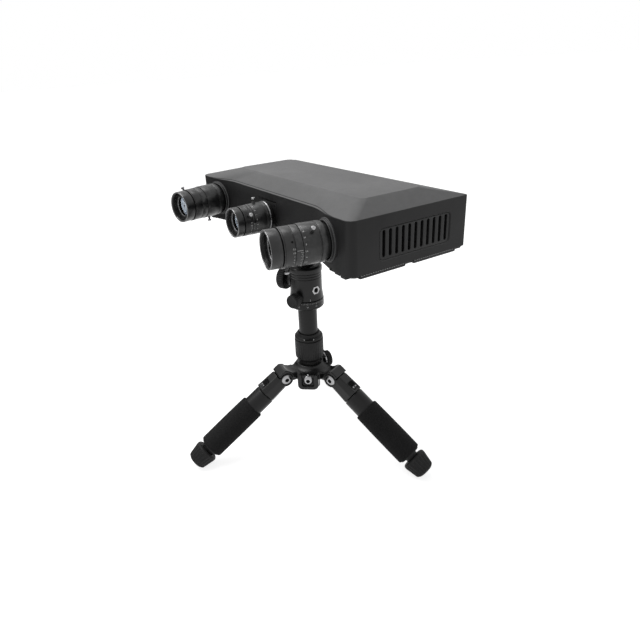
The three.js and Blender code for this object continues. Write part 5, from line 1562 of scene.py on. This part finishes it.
def build_dark_card(settings):
    """A black card at the front left that only reflections see, for contrast on the black parts."""
    finish = Finish("card black", roughness=0.9, specular=0.0)
    finish.colour(settings.card_colour)
    outward = heading(CARD["azimuth"])
    at = upright_pose(outward * CARD["distance"], outward)
    half, height = CARD["width"] / 2, CARD["height"]
    corners = ((-half, 0, 0), (half, 0, 0), (half, height, 0), (-half, height, 0))
    card = flat_sheet("dark_card", [at @ Vector(corner) for corner in corners], finish)
    for ray in ("camera", "diffuse", "transmission", "volume_scatter", "shadow"):
        setattr(card, f"visible_{ray}", False)


def area_lamp(name, place, target, size, power):
    lamp = bpy.data.lights.new(name, "AREA")
    lamp.shape = "RECTANGLE"
    lamp.size, lamp.size_y = size
    lamp.energy = power
    holder = placed(name, lamp)
    holder.location = place
    holder.rotation_mode = "QUATERNION"
    holder.rotation_quaternion = (Vector(target) - Vector(place)).to_track_quat("-Z", "Y")


def build_camera():
    data = bpy.data.cameras.new("photo camera")
    data.lens = CAMERA_LENS_LENGTH
    data.sensor_width = CAMERA_SENSOR
    data.shift_x, data.shift_y = CAMERA_SHIFT
    data.clip_start, data.clip_end = CAMERA_CLIP
    camera = placed("photo camera", data)
    azimuth, elevation = CAMERA_AZIMUTH, CAMERA_ELEVATION
    back = Vector((
        math.sin(azimuth) * math.cos(elevation),
        -math.cos(azimuth) * math.cos(elevation),
        math.sin(elevation),
    ))
    right = (-back).cross(UP).normalized()
    up = right.cross(-back)
    roll_cos, roll_sin = math.cos(CAMERA_ROLL), math.sin(CAMERA_ROLL)
    x_axis = roll_cos * right + roll_sin * up
    y_axis = -roll_sin * right + roll_cos * up
    pose = Matrix((x_axis, y_axis, back)).transposed().to_4x4()
    origin = Vector((wing_place.x, wing_place.y, rim_height)) + CAMERA_PLACE
    camera.matrix_world = Matrix.Translation(origin) @ pose
    bpy.context.scene.camera = camera


# Operators.
class SCANNER_OT_cover(bpy.types.Operator):
    """Builds the moulded cover and the rings round its camera lenses"""

    bl_idname = "scanner.cover"
    bl_label = "Cover"

    def execute(self, context):
        build_cover(context.scene.scanner_cover)
        return {"FINISHED"}


class SCANNER_OT_panels(bpy.types.Operator):
    """Builds the slotted vents and finishes the base, the rear panel and what is inside"""

    bl_idname = "scanner.panels"
    bl_label = "Vents and Panels"

    def execute(self, context):
        build_vents(context.scene.scanner_cover)
        return {"FINISHED"}


class SCANNER_OT_lenses(bpy.types.Operator):
    """Builds the three lenses with their rings, glass, scales and thumb screws"""

    bl_idname = "scanner.lenses"
    bl_label = "Lenses"

    def execute(self, context):
        settings = context.scene.scanner_lens
        glass = coated_glass(settings)
        for name, lens in LENSES.items():
            build_lens(name, lens, settings.steps, glass)
        return {"FINISHED"}


class SCANNER_OT_head(bpy.types.Operator):
    """Builds the ball head, its plate and clamp, and the four knobs"""

    bl_idname = "scanner.head"
    bl_label = "Ball Head and Knobs"

    def execute(self, context):
        paint, steel = finished("satin head paint"), finished("bright steel")
        tube, ink, trap_and_shade_black = (finished(key) for key in ("drawn black tube", "scale ink", "light trap and painted shade black"))
        build_head(paint, tube, steel, ink, trap_and_shade_black)
        for name, knob in KNOBS.items():
            build_knob(name, knob, finished("knob rubber"), paint, steel)
        return {"FINISHED"}


class SCANNER_OT_column(bpy.types.Operator):
    """Builds the sliding column and its twist collar"""

    bl_idname = "scanner.column"
    bl_label = "Column"

    def execute(self, context):
        names = ("drawn black tube", "knob rubber", "scale ink", "light trap and painted shade black")
        build_column(*[finished(name) for name in names])
        return {"FINISHED"}


class SCANNER_OT_legs(bpy.types.Operator):
    """Builds the hub and the three folding legs"""

    bl_idname = "scanner.legs"
    bl_label = "Hub and Legs"

    def execute(self, context):
        names = ("satin casting paint", "bright steel", "light trap and painted shade black")
        paint, steel, trap_and_shade_black = (finished(name) for name in names)
        build_hub(paint, steel, trap_and_shade_black)
        tube, foam, rubber = (
            finished("drawn black tube"), grip_foam(context.scene.scanner_stand), finished("foot rubber"))
        for name in LEG_NAMES:
            build_leg(name, paint, tube, foam, rubber, steel, trap_and_shade_black)
        return {"FINISHED"}


class SCANNER_OT_stage(bpy.types.Operator):
    """Builds the floor, the lamps, the room light and the camera"""

    bl_idname = "scanner.stage"
    bl_label = "Stage"

    def execute(self, context):
        settings = context.scene.scanner_stage
        build_floor(settings)
        build_world(settings)
        build_dark_card(settings)
        area_lamp("overhead softbox", (-0.5, -0.25, 1.65), (0, 0, 0.25), (1.5, 1.2), settings.key_power)
        build_camera()
        context.scene.view_settings.view_transform = "Standard"
        return {"FINISHED"}


class SCANNER_PT_panel(bpy.types.Panel):
    """Lists the builders in the 3D view's sidebar"""

    bl_idname = "SCANNER_PT_panel"
    bl_label = "Stereo Scanner"
    bl_space_type = "VIEW_3D"
    bl_region_type = "UI"
    bl_category = "Scanner"

    def draw(self, context):
        for operator in OPERATORS:
            self.layout.operator(operator.bl_idname)
        for label, shown in SETTINGS.items():
            for prop in shown.__annotations__:
                self.layout.prop(getattr(context.scene, label), prop)


OPERATORS = (
    SCANNER_OT_cover, SCANNER_OT_panels, SCANNER_OT_lenses, SCANNER_OT_head,
    SCANNER_OT_column, SCANNER_OT_legs, SCANNER_OT_stage,
)
SETTINGS = {
    "scanner_cover": CoverSettings,
    "scanner_lens": LensSettings,
    "scanner_stand": StandSettings,
    "scanner_stage": StageSettings,
}


def register():
    for cls in (*SETTINGS.values(), *OPERATORS, SCANNER_PT_panel):
        bpy.utils.register_class(cls)
    for label, cls in SETTINGS.items():
        setattr(bpy.types.Scene, label, PointerProperty(type=cls))


def unregister():
    for label in SETTINGS:
        delattr(bpy.types.Scene, label)
    for cls in reversed((*SETTINGS.values(), *OPERATORS, SCANNER_PT_panel)):
        bpy.utils.unregister_class(cls)


def main():
    register()
    for operator in OPERATORS:
        group, name = operator.bl_idname.split(".")
        getattr(getattr(bpy.ops, group), name)()


if __name__ == "__main__":
    main()
